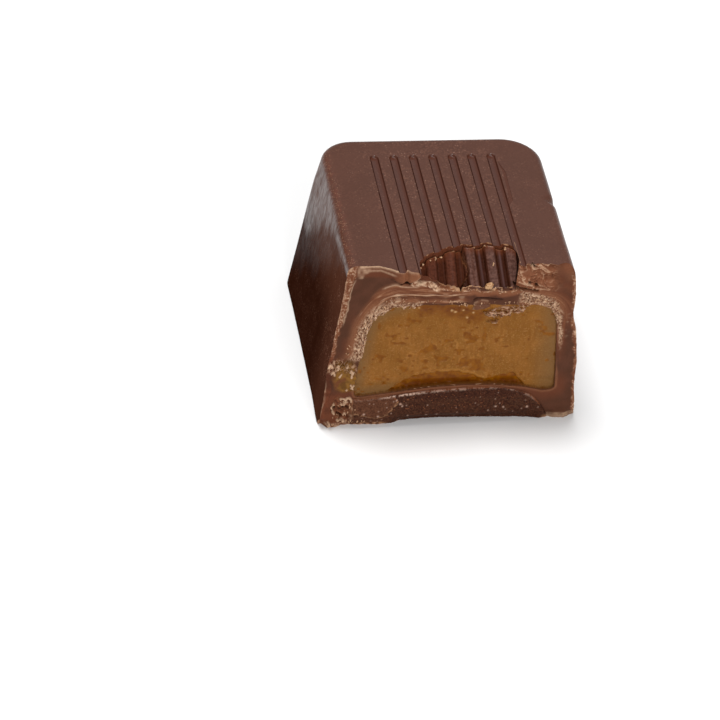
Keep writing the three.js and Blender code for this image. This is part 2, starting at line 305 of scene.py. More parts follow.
class Nodes:
    """A node tree that is built up one node at a time."""

    def __init__(self, tree):
        self.tree = tree

    def feed(self, socket, what):
        """Links a socket or a Value to an input, or sets a plain number, colour or material on it."""
        if isinstance(what, Value):
            what = what.socket
        if isinstance(what, bpy.types.NodeSocket):
            self.tree.links.new(what, socket)
        else:
            socket.default_value = what

    def node(self, kind, settings=None, inputs=()):
        """Adds a node, makes its settings, then feeds its sockets, by name or in order."""
        made = self.tree.nodes.new(kind)
        for name, setting in (settings or {}).items():
            setattr(made, name, setting)
        named = inputs.items() if isinstance(inputs, dict) else enumerate(inputs)
        for name, what in named:
            self.feed(made.inputs[name], what)
        return made

    def value(self, kind, settings=None, inputs=(), output=0):
        """Adds a node and takes a number from it."""
        return Value(self, self.node(kind, settings, inputs).outputs[output])


class Value:
    """A number that varies over a surface. Sums and products of it add Math nodes."""

    def __init__(self, nodes, socket):
        self.nodes = nodes
        self.socket = socket

    def math(self, operation, first, second):
        return self.nodes.value("ShaderNodeMath", {"operation": operation}, [first, second])

    def __add__(self, other):
        return self.math("ADD", self, other)

    def __sub__(self, other):
        return self.math("SUBTRACT", self, other)

    def __rsub__(self, other):
        return self.math("SUBTRACT", other, self)

    def __mul__(self, other):
        return self.math("MULTIPLY", self, other)

    def between(self, low, high):
        """0 below low, 1 above high, and a soft step between them."""
        settings = {"interpolation_type": "SMOOTHSTEP"}
        return self.nodes.value("ShaderNodeMapRange", settings, [self, low, high, 0.0, 1.0])

    __radd__ = __add__
    __rmul__ = __mul__


class Pattern(Nodes):
    """A Geometry Nodes tree that changes one piece, with named inputs."""

    def __init__(self, name, **kinds):
        super().__init__(bpy.data.node_groups.new(name, "GeometryNodeTree"))
        interface = self.tree.interface
        self.sockets = {
            socket: interface.new_socket(socket, in_out="INPUT", socket_type="NodeSocket" + kind).identifier
            for socket, kind in dict(Geometry="Geometry", **kinds).items()}
        interface.new_socket("Geometry", in_out="OUTPUT", socket_type="NodeSocketGeometry")
        self.leave = self.tree.nodes.new("NodeGroupOutput")
        self.entry = self.tree.nodes.new("NodeGroupInput").outputs

    def copies(self, **inputs):
        """Copies of a shape on points, made real."""
        made = self.node("GeometryNodeInstanceOnPoints", inputs=inputs).outputs[0]
        return self.node("GeometryNodeRealizeInstances", inputs=[made]).outputs[0]

    def run(self, piece, geometry, material, **inputs):
        """Gives the geometry its material, runs the tree on a piece, and leaves it a plain mesh."""
        dressed = self.node("GeometryNodeSetMaterial", inputs={"Geometry": geometry, "Material": material})
        self.feed(self.leave.inputs[0], dressed.outputs[0])
        modifier = piece.modifiers.new(self.tree.name, "NODES")
        modifier.node_group = self.tree
        for name, value in inputs.items():
            modifier[self.sockets[name]] = value
        apply_modifiers(piece)
        return piece


def repeat_across(piece, count, pitch, first, material):
    """Sets count copies of a piece side by side."""
    tree = Pattern("side_by_side", Count="Int", Pitch="Float", First="Float")
    start, offset = (tree.node("ShaderNodeCombineXYZ", inputs={"X": tree.entry[name]}).outputs[0]
                     for name in ("First", "Pitch"))
    places = {"Count": tree.entry["Count"], "Start Location": start, "Offset": offset}
    line = tree.node("GeometryNodeMeshLine", inputs=places).outputs[0]
    real = tree.copies(Points=line, Instance=tree.entry["Geometry"])
    return tree.run(piece, real, material, Count=count, Pitch=pitch * MM, First=first * MM)


CRUMB = dict(least=(0.9, 0.4, 0.4), most=(2.0, 0.8, 0.7), roundness=3, lumps_per_metre=7000.0, dents=1.9)
FULL_TURN = (6.28, 6.28, 6.28)


def scatter_crumbs(name, places, sizes, tones, material, seed):
    """A dented lump on each place, turned and drawn out in its own way."""
    points = make_mesh(name, places, [])
    store(points, size=sizes, tone=tones)
    tree = Pattern("crumbs", Seed="Int")
    size = tree.value("GeometryNodeInputNamedAttribute", {"data_type": "FLOAT"}, {"Name": "size"}) * MM
    vector = {"data_type": "FLOAT_VECTOR"}
    reach = {"Min": CRUMB["least"], "Max": CRUMB["most"], "Seed": tree.entry["Seed"]}
    reach = tree.node("FunctionNodeRandomValue", vector, reach).outputs[0]
    by_size = tree.node("ShaderNodeVectorMath", {"operation": "SCALE"}, {"Vector": reach, "Scale": size})
    angles = tree.node("FunctionNodeRandomValue", vector, {"Min": (0, 0, 0), "Max": FULL_TURN, "Seed": 7})
    turn = tree.node("FunctionNodeEulerToRotation", inputs=[angles.outputs[0]])
    ball = tree.node("GeometryNodeMeshIcoSphere", inputs={"Radius": 1.0, "Subdivisions": CRUMB["roundness"]})
    real = tree.copies(Points=tree.entry["Geometry"], Instance=ball.outputs[0], Rotation=turn.outputs[0],
                       Scale=by_size.outputs[0])
    place = tree.node("GeometryNodeInputPosition").outputs[0]
    lumpy = tree.value("ShaderNodeTexNoise", inputs={"Vector": place, "Scale": CRUMB["lumps_per_metre"]})
    dent = {"Vector": tree.node("GeometryNodeInputNormal").outputs[0],
            "Scale": (lumpy - 0.5) * size * CRUMB["dents"]}
    moved = tree.node("ShaderNodeVectorMath", {"operation": "SCALE"}, dent)
    dented = tree.node("GeometryNodeSetPosition", inputs={"Geometry": real, "Offset": moved.outputs[0]})
    return tree.run(points, dented.outputs[0], material, Seed=seed)


# ---------------------------------------------------------------- moulded block

RING_STEPS = dict(corner=10, side=90, end=44)
FOOT_LEVELS = [(0.14, 0.0), (0.05, 0.04), (0.02, 0.12)]
TOP_STEPS = np.linspace(0.97, 0.1, 24)


def wall_at(side, y, z):
    """How far a side wall stands from the middle. By the bite the left swells and the right is pressed in."""
    drafted = BAR["width"] / 2 - z * math.tan(BAR["draft"])
    if side < 0:
        return drafted + hump(y, 0, 2.6) * (0.12 * below(z, 11.5, 2) + 0.16 * hump(z, 6.0, 1.1))
    waist = 0.26 * hump(z, 11.4, 1.1) + 0.3 * smooth(-z, -6.5, -3.5)
    return drafted - hump(y, 0, 2.2) * waist


def corner_arc(side, inset, height):
    """The rounded corner at the moulded end, from the side wall round to the end wall."""
    top_corner = BAR["right_top_corner"] if side > 0 else BAR["left_top_corner"]
    rounder = smooth(height, BAR["corners_from"], BAR["height"] - 0.2)
    within_edge = max(inset - height * math.tan(BAR["draft"]), 0)
    radius = BAR["corner"] + (top_corner - BAR["corner"]) * rounder - 0.8 * within_edge
    half, back = BAR["width"] / 2 - inset, BAR["back"] - inset
    turns = np.linspace(0, math.pi / 2, RING_STEPS["corner"])
    return np.stack([side * (half - radius + radius * np.cos(turns)),
                     back - radius + radius * np.sin(turns)], -1)


def plan_ring(inset, height):
    """The bar's outline seen from above at one height, drawn in by the inset."""
    half, front = BAR["width"] / 2 - inset, BAR["front"]
    right, left = corner_arc(1, inset, height), corner_arc(-1, inset, height)
    side = np.linspace(0, 1, RING_STEPS["side"], endpoint=False)[:, None]
    end = np.linspace(0, 1, RING_STEPS["end"], endpoint=False)[:, None]
    right_foot, left_foot = np.array([half, front]), np.array([-half, front])
    outline = np.concatenate([
        right_foot + side * (right[0] - right_foot),
        right,
        (right[-1] + end * (left[-1] - right[-1]))[1:],
        left[::-1],
        (left[0] + side * (left_foot - left[0]))[1:],
        left_foot + end * (right_foot - left_foot),
    ])
    return np.column_stack([outline, np.full(len(outline), height)])


def moulded_block(name):
    """The drafted block with its rounded top edge, long enough to be bitten."""
    draft, edge = BAR["draft"], BAR["edge"]
    centre_height = BAR["height"] - edge
    centre_inset = centre_height * math.tan(draft) + edge / math.cos(draft)
    levels = FOOT_LEVELS + [(z * math.tan(draft), z) for z in np.linspace(0.5, centre_height - 0.4, 30)]
    turns = np.linspace(draft, math.pi / 2, 11)
    levels += [(centre_inset - edge * math.cos(t), centre_height + edge * math.sin(t)) for t in turns]
    rings = [plan_ring(inset, z) for inset, z in levels]
    middle = np.array([0, (BAR["back"] + BAR["front"]) / 2, 0])
    inward = [np.array([share, share, 1]) for share in TOP_STEPS]
    rings += [middle + (rings[-1] - middle) * share for share in inward]
    rings = [middle + (rings[0] - middle) * share for share in inward[::-3]] + rings
    points, faces = loft(rings)
    return make_mesh(name, wall_waves(points), faces)


def wall_waves(points):
    """No wall is quite flat, and the right top edge has a nick."""
    x, y, z = points.T
    side = np.sign(x)
    drafted = BAR["width"] / 2 - z * math.tan(BAR["draft"])
    near_wall = smooth(np.abs(x), 6, 9)
    moved = points.copy()
    for one in (-1, 1):
        moved[:, 0] += np.where(side == one, one * (wall_at(one, y, z) - drafted) * near_wall, 0)
    moved[:, 0] -= 0.03 * rough(x + 0.7 * y, z - 0.6 * y, 5.0, 5) * side * near_wall
    nick = 0.32 * hump(y, 10.9, 0.45) * smooth(x, 8.9, 9.8) * hump(z, 16.1, 0.6)
    return moved - nick[:, None] * np.array([1.0, 0.0, 0.5])


def groove_depth(across, y):
    """Depth of a groove at a distance across from its middle. Its moulded end is round."""
    from_middle = np.hypot(across, np.maximum(y - (GROOVE_END - GROOVES["top_width"] / 2), 0))
    return GROOVES["depth"] * (1 - smooth(from_middle, GROOVES["floor_width"] / 2, GROOVES["top_width"] / 2))


def groove_centres():
    """Where across the bar each groove runs."""
    return (np.arange(GROOVES["count"]) - (GROOVES["count"] - 1) / 2) * GROOVES["pitch"]


def all_grooves(x, y):
    """Depth of whichever groove a place lies in."""
    return sum(groove_depth(x - centre, y) for centre in groove_centres())


def from_groove(x):
    """Distance across the bar from the middle of the nearest groove, above 0 on its right."""
    return (x + GROOVES["pitch"] / 2) % GROOVES["pitch"] - GROOVES["pitch"] / 2


def groove_cutter():
    """One channel about X = 0."""
    half = GROOVES["top_width"] / 2 + 0.03
    stations = [np.linspace(BAR["front"] - 1, GROOVE_END - 1, 8),
                np.linspace(GROOVE_END - 0.95, GROOVE_END + 0.03, 14)]
    x, y = np.meshgrid(np.linspace(-half, half, 21), np.concatenate(stations))
    floor = np.stack([x, y, BAR["height"] + 0.005 - groove_depth(x, y)], -1)
    return make_mesh("groove_cutter", *under_level(floor, BAR["height"] + 1))


# ---------------------------------------------------------------- curves on the broken face


def curve_through(points, steps=8):
    """A smooth line through points (x, z) on the broken face."""
    points = np.array(points, float)
    ends = np.vstack([2 * points[0] - points[1], points, 2 * points[-1] - points[-2]])
    out = []
    for a, b, c, d in zip(ends, ends[1:], ends[2:], ends[3:]):
        for t in np.linspace(0, 1, steps, endpoint=False):
            curved = (2 * a - 5 * b + 4 * c - d) * t**2 + (3 * b - a - 3 * c + d) * t**3
            out.append(0.5 * (2 * b + (c - a) * t + curved))
    return np.vstack([out, points[-1:]])


def beside(line, x, z):
    """Distance from a line, above 0 on the left going along it, and the share of the way along it."""
    steps = np.linalg.norm(np.diff(line, axis=0), axis=1)
    reached = np.concatenate([[0], np.cumsum(steps)]) / steps.sum()
    nearest = np.full(np.shape(x), 1e9)
    side, share = np.ones(np.shape(x)), np.zeros(np.shape(x))
    for i, length in enumerate(steps):
        (ax, az), (dx, dz) = line[i], line[i + 1] - line[i]
        t = np.clip(((x - ax) * dx + (z - az) * dz) / length**2, 0, 1)
        away = np.hypot(x - ax - t * dx, z - az - t * dz)
        closer = away < nearest
        nearest = np.where(closer, away, nearest)
        side = np.where(closer, np.where(dx * (z - az) > dz * (x - ax), 1, -1), side)
        share = np.where(closer, reached[i] + t * (reached[i + 1] - reached[i]), share)
    return nearest * side, share


def ridge(line, x, z, width, fade=0.15):
    """1 along a line, falling off within a width, and fading out at both ends."""
    distance, share = beside(line, x, z)
    return hump(distance, 0, width) * smooth(share, 0, fade) * below(share, 1, fade)


def inside(polygon, x, z):
    """True for places (x, z) inside a closed outline."""
    result = np.zeros(np.shape(x), bool)
    for (ax, az), (bx, bz) in zip(polygon, np.roll(polygon, -1, 0)):
        crosses = (az > z) != (bz > z)
        level = np.where(az == bz, 1e-9, bz - az)
        result ^= crosses & (x < (bx - ax) * (z - az) / level + ax)
    return result


def patch(outline, x, z, fade=0.1):
    """1 inside a closed outline and 0 outside it, softly and with a ragged edge."""
    x, z = x + 0.1 * noise(x, z, 0.5, 13), z + 0.1 * noise(z, x, 0.4, 14)
    away = np.abs(beside(np.vstack([outline, outline[:1]]), x, z)[0])
    return smooth(np.where(inside(outline, x, z), away, -away), -fade, fade)


def bezier(a, b, c, d, steps=14):
    """A curve from a to d, drawn towards b and c on the way."""
    t = np.linspace(0, 1, steps, endpoint=False)[:, None]
    a, b, c, d = (np.array(p, float) for p in (a, b, c, d))
    return (1 - t) ** 3 * a + 3 * (1 - t) ** 2 * t * b + 3 * (1 - t) * t**2 * c + t**3 * d


def bend(a, b, c, steps=10):
    """A curve from a to c, drawn towards b on the way."""
    t = np.linspace(0, 1, steps, endpoint=False)[:, None]
    a, b, c = (np.array(p, float) for p in (a, b, c))
    return (1 - t) ** 2 * a + 2 * (1 - t) * t * b + t**2 * c


FILLING = dict(left=-9.0, left_shoulder=-8.35, right=9.5, right_shoulder=9.05, floor=3.1,
               crown=3.95, top=12.45, left_radius=3.6, right_radius=1.7, foot=0.45, end_wall=4.4,
               end_rounding=1.5, overlap=0.04)
BASE = dict(left=-9.1, right=9.15, edge=2.95, crown=3.75, seam_top=(7.3, 2.75), seam_bulge=(8.5, 1.9),
            end_wall=2.9, end_rounding=0.3, room=0.02)


def filling_section():
    """Outline of the caramel across the bar, counter-clockwise."""
    f = FILLING
    left, right, floor, top, foot = f["left"], f["right"], f["floor"], f["top"], f["foot"]
    shoulder_left, shoulder_right = f["left_shoulder"], f["right_shoulder"]
    return np.vstack([
        bezier((left + foot, floor), (left * 0.5, floor + 0.35), (-2.6, f["crown"]), (1.2, f["crown"])),
        bezier((1.2, f["crown"]), (4.6, f["crown"]), (6.6, floor + 0.55), (right - 1.1, floor)),
        bend((right - 1.1, floor), (right, floor), (right, floor + foot)),
        bend((right, floor + foot), ((right + shoulder_right) / 2 + 0.06, 7),
             (shoulder_right, top - f["right_radius"])),
        bend((shoulder_right, top - f["right_radius"]), (shoulder_right - 0.1, top),
             (shoulder_right - f["right_radius"], top)),
        bend((shoulder_right - f["right_radius"], top), (2, top + 0.05),
             (shoulder_left + f["left_radius"], top), 24),
        bend((shoulder_left + f["left_radius"], top), (shoulder_left + 0.35, top - 0.2),
             (shoulder_left, top - f["left_radius"])),
        bend((shoulder_left, top - f["left_radius"]), (left + 0.1, 6), (left, floor + foot)),
        bend((left, floor + foot), (left, floor), (left + foot, floor)),
    ])


def base_section():
    """Outline of the closing layer across the bar, counter-clockwise."""
    b = BASE
    left, right, edge, crown = b["left"], b["right"], b["edge"], b["crown"]
    return np.vstack([
        bend((left, 0), (0, 0), (right, 0), 30),
        bend((right, 0), b["seam_bulge"], b["seam_top"], 12),
        bezier(b["seam_top"], (5.2, crown - 0.05), (4.4, crown), (2.4, crown)),
        bezier((2.4, crown), (-3.2, crown), (left * 0.6, edge), (left + 0.1, edge)),
        bend((left + 0.1, edge), (left + 0.05, edge / 2), (left, 0.02), 8),
    ])


def grown(outline, distance):
    """The outline moved outwards by a distance."""
    before, after = np.roll(outline, 1, 0), np.roll(outline, -1, 0)
    tangent = after - before
    tangent /= np.linalg.norm(tangent, axis=1)[:, None]
    return outline + distance * np.stack([tangent[:, 1], -tangent[:, 0]], -1)


def along_bar(name, outline, end_wall, rounding):
    """A solid that runs an outline (x, z) from before the bite to its end wall, with a rounded end."""
    middle = (outline.max(0) + outline.min(0)) / 2
    half = (outline.max(0) - outline.min(0))[1] / 2
    back = BAR["back"] - end_wall
    turns = np.linspace(0, math.pi / 2, 7)
    rings = [(BAR["front"] + 0.5, 1.0), (back - rounding - 4, 1.0)]
    rings += [(back - rounding * (1 - math.sin(t)), 1 - rounding / half * (1 - math.cos(t))) for t in turns]
    shapes = []
    for y, scale in rings:
        x, z = (middle + (outline - middle) * scale).T
        shapes.append(np.stack([x, np.full_like(x, y), z], -1)[::-1])
    return make_mesh(name, *loft(shapes))


# ---------------------------------------------------------------- the broken face

FILLING_OUTLINE = filling_section()
FILLING_LOOP = np.vstack([FILLING_OUTLINE, FILLING_OUTLINE[:1]])
FILLING_ROUND = np.linalg.norm(np.diff(FILLING_LOOP, axis=0), axis=1).sum()


def mean_plane(x, z):
    """How far back the bite lies on average."""
    return BITE["offset"] + BITE["lean"] * z + BITE["skew"] * x + BITE["twist"] * x * z


class Face:
    """Places (x, z) on the broken face. Features stand out of it and lay tones on it, one after another."""

    # The dark tone is mostly painted shade, in cracks, holes, clefts and furrows.
    TONES = ("pale", "tan", "red", "dark", "olive", "amber", "bloom")

    def __init__(self, x, z):
        self.x, self.z = np.asarray(x, float), np.asarray(z, float)
        distance, share = beside(FILLING_LOOP, self.x, self.z)
        self.out = np.where(inside(FILLING_OUTLINE, self.x, self.z), -1, 1) * np.abs(distance)
        self.along = share * FILLING_ROUND
        self.proud, self.lined, self.crumbly = (np.zeros(self.x.shape) for _ in range(3))
        self.flow = [self.along / 60, self.out / 12]
        self.tones = {name: np.zeros(self.x.shape) for name in self.TONES}
        for feature in FEATURES:
            feature(self)

    @property
    def y(self):
        """How far back the broken face lies."""
        return mean_plane(self.x, self.z) - self.proud

    def raise_by(self, height):
        """Stands out of the mean plane by a height in millimetres."""
        self.proud = self.proud + height

    def tone(self, name, share):
        """Lays a tone on, wherever less of it is there so far."""
        self.tones[name] = np.clip(most(self.tones[name], share), 0, 1)

    def clear(self, share):
        """Takes the tones away again where the share is 1."""
        for name in self.tones:
            self.tones[name] = self.tones[name] * (1 - share)

    def become(self, height, share):
        """Goes over to another height where the share is 1."""
        self.proud = self.proud * (1 - share) + height * share

    def crumbs(self, region, stretch, size, height, seed):
        """Crowds a region with torn crumbs along the caramel's outline: pale strands over reddish holes, with
        painted shade in the holes.
        """
        slanted = self.along / stretch + 0.55 * self.out
        strand = strands(slanted, self.out, size, seed)
        patchy = 0.5 + 0.5 * noise(self.x, self.z, 0.8, seed + 7)
        self.raise_by(region * height * (0.1 + strand * (0.5 + 0.5 * patchy)))
        self.crumbly = most(self.crumbly,
                            region * (0.3 + 0.7 * smooth(noise(self.x, self.z, 0.5, seed + 9), -0.5, 0.5)))
        self.tone("tan", region * 0.75)
        self.tone("pale", region * smooth(strand, 0.3, 0.75) * (0.55 + 0.45 * patchy))
        # Painted shade in the holes between the strands.
        self.tone("dark", region * (1 - smooth(strand, 0.0, 0.2)) * (0.08 + 0.2 * patchy))

    def curls(self, lines, width, height):
        """Thin ragged curls of crumb along measured lines."""
        for line in lines:
            curl = ridge(line, self.x, self.z, width * (1 + 0.5 * noise(self.x, self.z, 0.2, 93)), 0.05)
            self.raise_by(height * curl)
            self.tones["dark"] = self.tones["dark"] * (1 - curl)
            self.tone("pale", smooth(curl, 0.2, 0.7))

    def fleck(self, name, spots, size, height=0.0):
        """Small spots of a tone at measured places."""
        for x, z in spots:
            spot = hump(np.hypot(self.x - x, self.z - z) * (1 + 0.4 * noise(self.x, self.z, 0.2, 91)),
                        0, size)
            self.tone(name, spot)
            self.raise_by(height * spot)


def shaved_walls(f):
    """The walls are shaved smooth by the teeth, with fine lines that run round the right-hand corner."""
    x, z = f.x, f.z
    f.raise_by(0.06 * rough(x, z, 2.2, 31) + 0.02 * rough(x, z, 0.5, 32))
    lines = noise(f.along, f.out * 9 + 2 * noise(x, z, 2.0, 35), 1.5, 33)
    round_corner = smooth(x, 4.8, 7.0) * smooth(z, 9.5, 11.5) * below(f.out, 2.4, 1.0)
    f.tone("red", round_corner * 0.7)
    f.tone("tan", round_corner * (0.15 + 0.3 * lines))
    f.lined = most(f.lined, round_corner * below(f.out, 1.9, 0.9) * 0.8)
    f.raise_by(0.03 * lines * round_corner)
    inner = smooth(x, 8.6, 9.4) * below(f.out, 1.1, 0.7) * smooth(z, 5.5, 8.5)
    f.tone("red", inner * (0.8 + 0.3 * lines))
    f.tone("tan", inner * smooth(lines, 0.1, 0.7) * 0.4)
    f.tone("red", smooth(f.out, 0.0, 0.1) * below(f.out, 1.6, 1.2) * below(z, 5.5, 1.5) * 0.6)
    f.tone("tan", hump(f.out, 0.1, 0.12) * below(z, 4.6, 0.5) * 0.5)
    f.tone("tan", hump(f.out, 0.12, 0.12) * smooth(x, 8.6, 9.0) * below(z, 11, 1)
           * smooth(lines, -0.5, 0.5) * 0.6)
    ticks = smooth(noise(x * 0.4, z, 0.22, 30), 0.2, 0.7)
    f.tone("pale", ticks * hump(x, 10.1, 0.16) * hump(z, 10.2, 1.3) * 0.3)
    left_lines = noise(z * 0.9 + x * 0.1, (x + 0.12 * z) * 3, 1.6, 34)
    f.tone("red", smooth(-x, 8.6, 9.6) * smooth(z, 6, 8) * below(z, 12.5, 3) * (0.3 + 0.5 * left_lines))
    f.tone("red", smooth(x, 7.6, 9.0) * smooth(z, 12.8, 14.5) * (0.45 + 0.3 * noise(x, z, 0.5, 96)))
    f.tone("tan", smooth(x, 7.6, 9.0) * smooth(z, 13.4, 15.2) * (0.1 + 0.2 * noise(x, z, 0.7, 97)))


def outer_rims(f):
    """The outer edges are torn to a thin, paler rim."""
    x, z = f.x, f.z
    ragged = 0.12 * noise(z, x, 0.4, 36) + 0.14 * noise(z, x, 1.3, 37)
    left = wall_at(-1, 0, z) + x
    right = wall_at(1, 0, z) - x
    shoulder = 0.35 * smooth(z, 13.2, 15.5)
    left_rim = smooth(0.5 + shoulder + ragged - left, 0, 0.16)
    right_rim = smooth(0.34 + ragged - right, 0, 0.2) * below(z, 16.0, 1.0)
    torn = 0.5 + 0.5 * noise(x, z, 0.35, 38)
    f.tone("tan", most(left_rim * smooth(z, 6.8, 7.6), 0.8 * right_rim) * (0.1 + 0.7 * torn))
    f.tone("red", most(left_rim, right_rim))
    f.crumbly = most(f.crumbly, most(left_rim * smooth(z, 6.8, 7.6), right_rim) * torn * 0.6)
    edge = np.minimum(left, right)
    f.tone("pale", smooth(0.1 + ragged - edge, 0, 0.1) * below(z, 15.8, 0.8) * torn * 0.6)
    inner_line = hump(left, 0.52 + shoulder + 0.8 * ragged, 0.06)
    inner_line = inner_line * smooth(z, 10.2, 11.0) * below(z, 15.2, 0.7)
    f.tone("pale", inner_line * 0.55)
    f.tone("pale", left_rim * smooth(noise(x, z, 0.2, 41), 0.45, 0.8) * smooth(z, 7, 8) * 0.6)
    f.raise_by(0.1 * most(left_rim, right_rim) * (0.3 + noise(z, x, 0.35, 40)) + 0.06 * inner_line)
    worn_corner = smooth(x, 8.2, 9.4) * smooth(z, 15.0, 16.5)
    f.raise_by(-0.8 * worn_corner * smooth(z, 14.6, 16.5))
    f.tone("tan", 0.1 * worn_corner)


STREAM = curve_through([(-9.5, 7.9), (-9.05, 9.9), (-8.2, 11.7), (-7.15, 12.85), (-6.3, 13.36),
                        (-5.2, 13.55), (-3.2, 13.52), (-1.2, 13.48), (0.6, 13.65), (1.6, 13.7)])


def streaks(f):
    """Chocolate smeared from the left wall to over the caramel, in long fine lines, with painted shade in a
    furrow.
    """
    x, z = f.x, f.z
    beyond, share = beside(STREAM, x, z)
    beyond = beyond + 0.05 * noise(x, z, 1.1, 15)
    strength = smooth(share, 0.02, 0.4) * smooth(1 - share, 0.02, 0.12)
    fine = noise(share * 16, beyond * 3.4, 0.8, 16) + 0.5 * noise(share * 16, beyond * 6, 0.8, 12)
    line = np.interp(beyond, [-0.85, -0.62, -0.5, -0.3, -0.14, 0.0, 0.13, 0.32, 0.8, 1.3],
                     [-0.3, 0.6, 0, -1, 0.1, 1, 0.1, 0.3, 0.4, 0])
    over_top = smooth(share, 0.3, 0.45)
    band = smooth(beyond, -1.0, -0.7) * smooth(1.3 - 0.5 * (1 - over_top) - beyond, 0, 0.5)
    line = line * over_top
    near_stream = band > 0
    f.lined = np.where(near_stream, strength * band, f.lined)
    f.flow = [np.where(near_stream, share * 14 / 60, f.flow[0]),
              np.where(near_stream, (beyond + 2) / 12, f.flow[1])]
    f.tone("red", strength * band * 0.8)
    f.tone("tan", strength * band * np.clip(0.4 * line + 0.35 + 0.5 * fine, 0, 1))
    f.tone("pale", strength * band
           * (smooth(line + 0.3 * fine, 0.5, 1.0) * 0.8 + 0.35 * smooth(fine, 0.5, 0.9)))
    # Painted shade in the furrow.
    f.tone("dark", strength * np.clip(-line - 0.1 + 0.15 * fine, 0, 1) * 0.45)
    f.raise_by(strength * (0.1 * line + 0.04 * fine * band))


def fringe(f):
    """Crumbs up the left of the caramel and round its upper corner, which hang over its edge."""
    x, z = f.x, f.z
    width = 1.05 - 0.62 * smooth(x, -7.2, -5.0) + 0.15 * noise(f.along, f.along, 0.8, 17)
    upper = smooth(z, 6.6, 7.4) * smooth(-x, 3.2, 3.9)
    f.fringe = upper * below(f.out, width, 0.45)
    f.crumbs(f.fringe, 1.7, 0.22, 0.24, 21)
    f.tone("tan", upper * smooth(width + 0.8 - f.out, 0, 1.0) * 0.75)


RIGHT_CRUMBS = curve_through([(5.3, 13.35), (6.5, 13.15), (7.5, 12.95), (8.4, 12.5), (9.0, 11.6),
                              (9.4, 10.2), (9.6, 8.6), (9.62, 7.0)])


def corner_crumbs(f):
    """A heap of crumbs in the upper right corner, which thins out to a line down the caramel's right side."""
    x, z = f.x, f.z
    away, share = beside(RIGHT_CRUMBS, x, z)
    width = 0.62 - 0.36 * smooth(share, 0.42, 0.66) + 0.1 * noise(x, z, 0.6, 18)
    f.corner = smooth(width - np.abs(away), -0.05, 0.3) * smooth(1 - share, 0.02, 0.25)
    f.corner = f.corner * smooth(share, 0, 0.04)
    f.crumbs(f.corner, 1.3, 0.2, 0.24, 23)
    f.tone("tan", smooth(1.5 - np.abs(away), 0, 1.0) * smooth(1 - share, 0.3, 0.7)
           * smooth(share, 0, 0.05) * 0.7)


LEDGE = curve_through([(-4.3, 14.85), (-3.4, 14.95), (-2.5, 14.75), (-2.1, 14.4), (-1.6, 14.2),
                       (-0.3, 14.12), (0.6, 14.0), (1.4, 14.12), (2.0, 13.9), (3.2, 14.05), (3.9, 13.9),
                       (4.6, 14.0), (5.2, 14.2)])


def ledge(f):
    """The front edge of the pressed-down plate: a pale ridge of crumbs over a smooth brown break."""
    x, z = f.x, f.z
    away, share = beside(LEDGE, x, z)
    band = smooth(-away, -0.05, 0.05) * smooth(0.75 + away, 0, 0.3) * smooth(share, 0.3, 0.45)
    f.tone("red", band * 0.9)
    f.tone("tan", band * (0.45 + 0.3 * noise(x * 0.4, z * 2, 0.5, 19)))
    heap = smooth(-x, 1.7, 2.3)
    crest = smooth(0.13 + 0.2 * heap + 0.07 * noise(x, z, 0.4, 20) - np.abs(away + 0.08 + 0.12 * heap),
                   0, 0.12)
    lump, own = lumps(x, z, 0.38, 24)
    f.raise_by(crest * (0.1 + 0.1 * noise(x, z, 0.4, 25) + 0.25 * heap * lump * own))
    f.tone("tan", crest * 0.8)
    f.tone("pale", crest * (0.3 + 0.4 * noise(x, 1.5 * z, 0.4, 26) + heap * (0.9 * lump - 0.3)))
    f.crumbly = most(f.crumbly, crest * 0.6)


LIP_EDGE = curve_through([(-9.3, 16.2), (-8.5, 16.38), (-7.6, 16.4), (-6.7, 16.38), (-5.9, 16.36),
                          (-5.0, 16.38), (-3.9, 16.38)])
LIP_STREAK = curve_through([(-9.0, 15.75), (-8.2, 15.9), (-7.3, 15.95), (-6.5, 15.85), (-5.8, 15.8)])
LIP_REACH = dict(x=[-7.3, -6.6, -6.0, -5.0, -3.9], out=[0, 0.3, 0.62, 0.82, 0.97])
LIP_UNDERSIDE = dict(x=[-6.4, -5.6, -4.9, -4.2, -3.85], z=[14.9, 15.02, 15.16, 15.4, 15.85])
CRACK_FLOOR = dict(x=[-5.75, -5.4, -4.9, -4.4], z=[14.7, 14.56, 14.6, 14.8])
UNDER_LIP = curve_through([(-7.2, 14.0), (-6.4, 14.4), (-5.8, 14.55), (-5.35, 14.38), (-4.7, 14.34),
                           (-4.2, 14.36), (-3.6, 14.3)])
LIP_PATCH = np.array([(-9.3, 15.2), (-9.25, 16.35), (-8.5, 16.35), (-8.1, 15.95), (-8.6, 15.6), (-8.9, 15.2)])


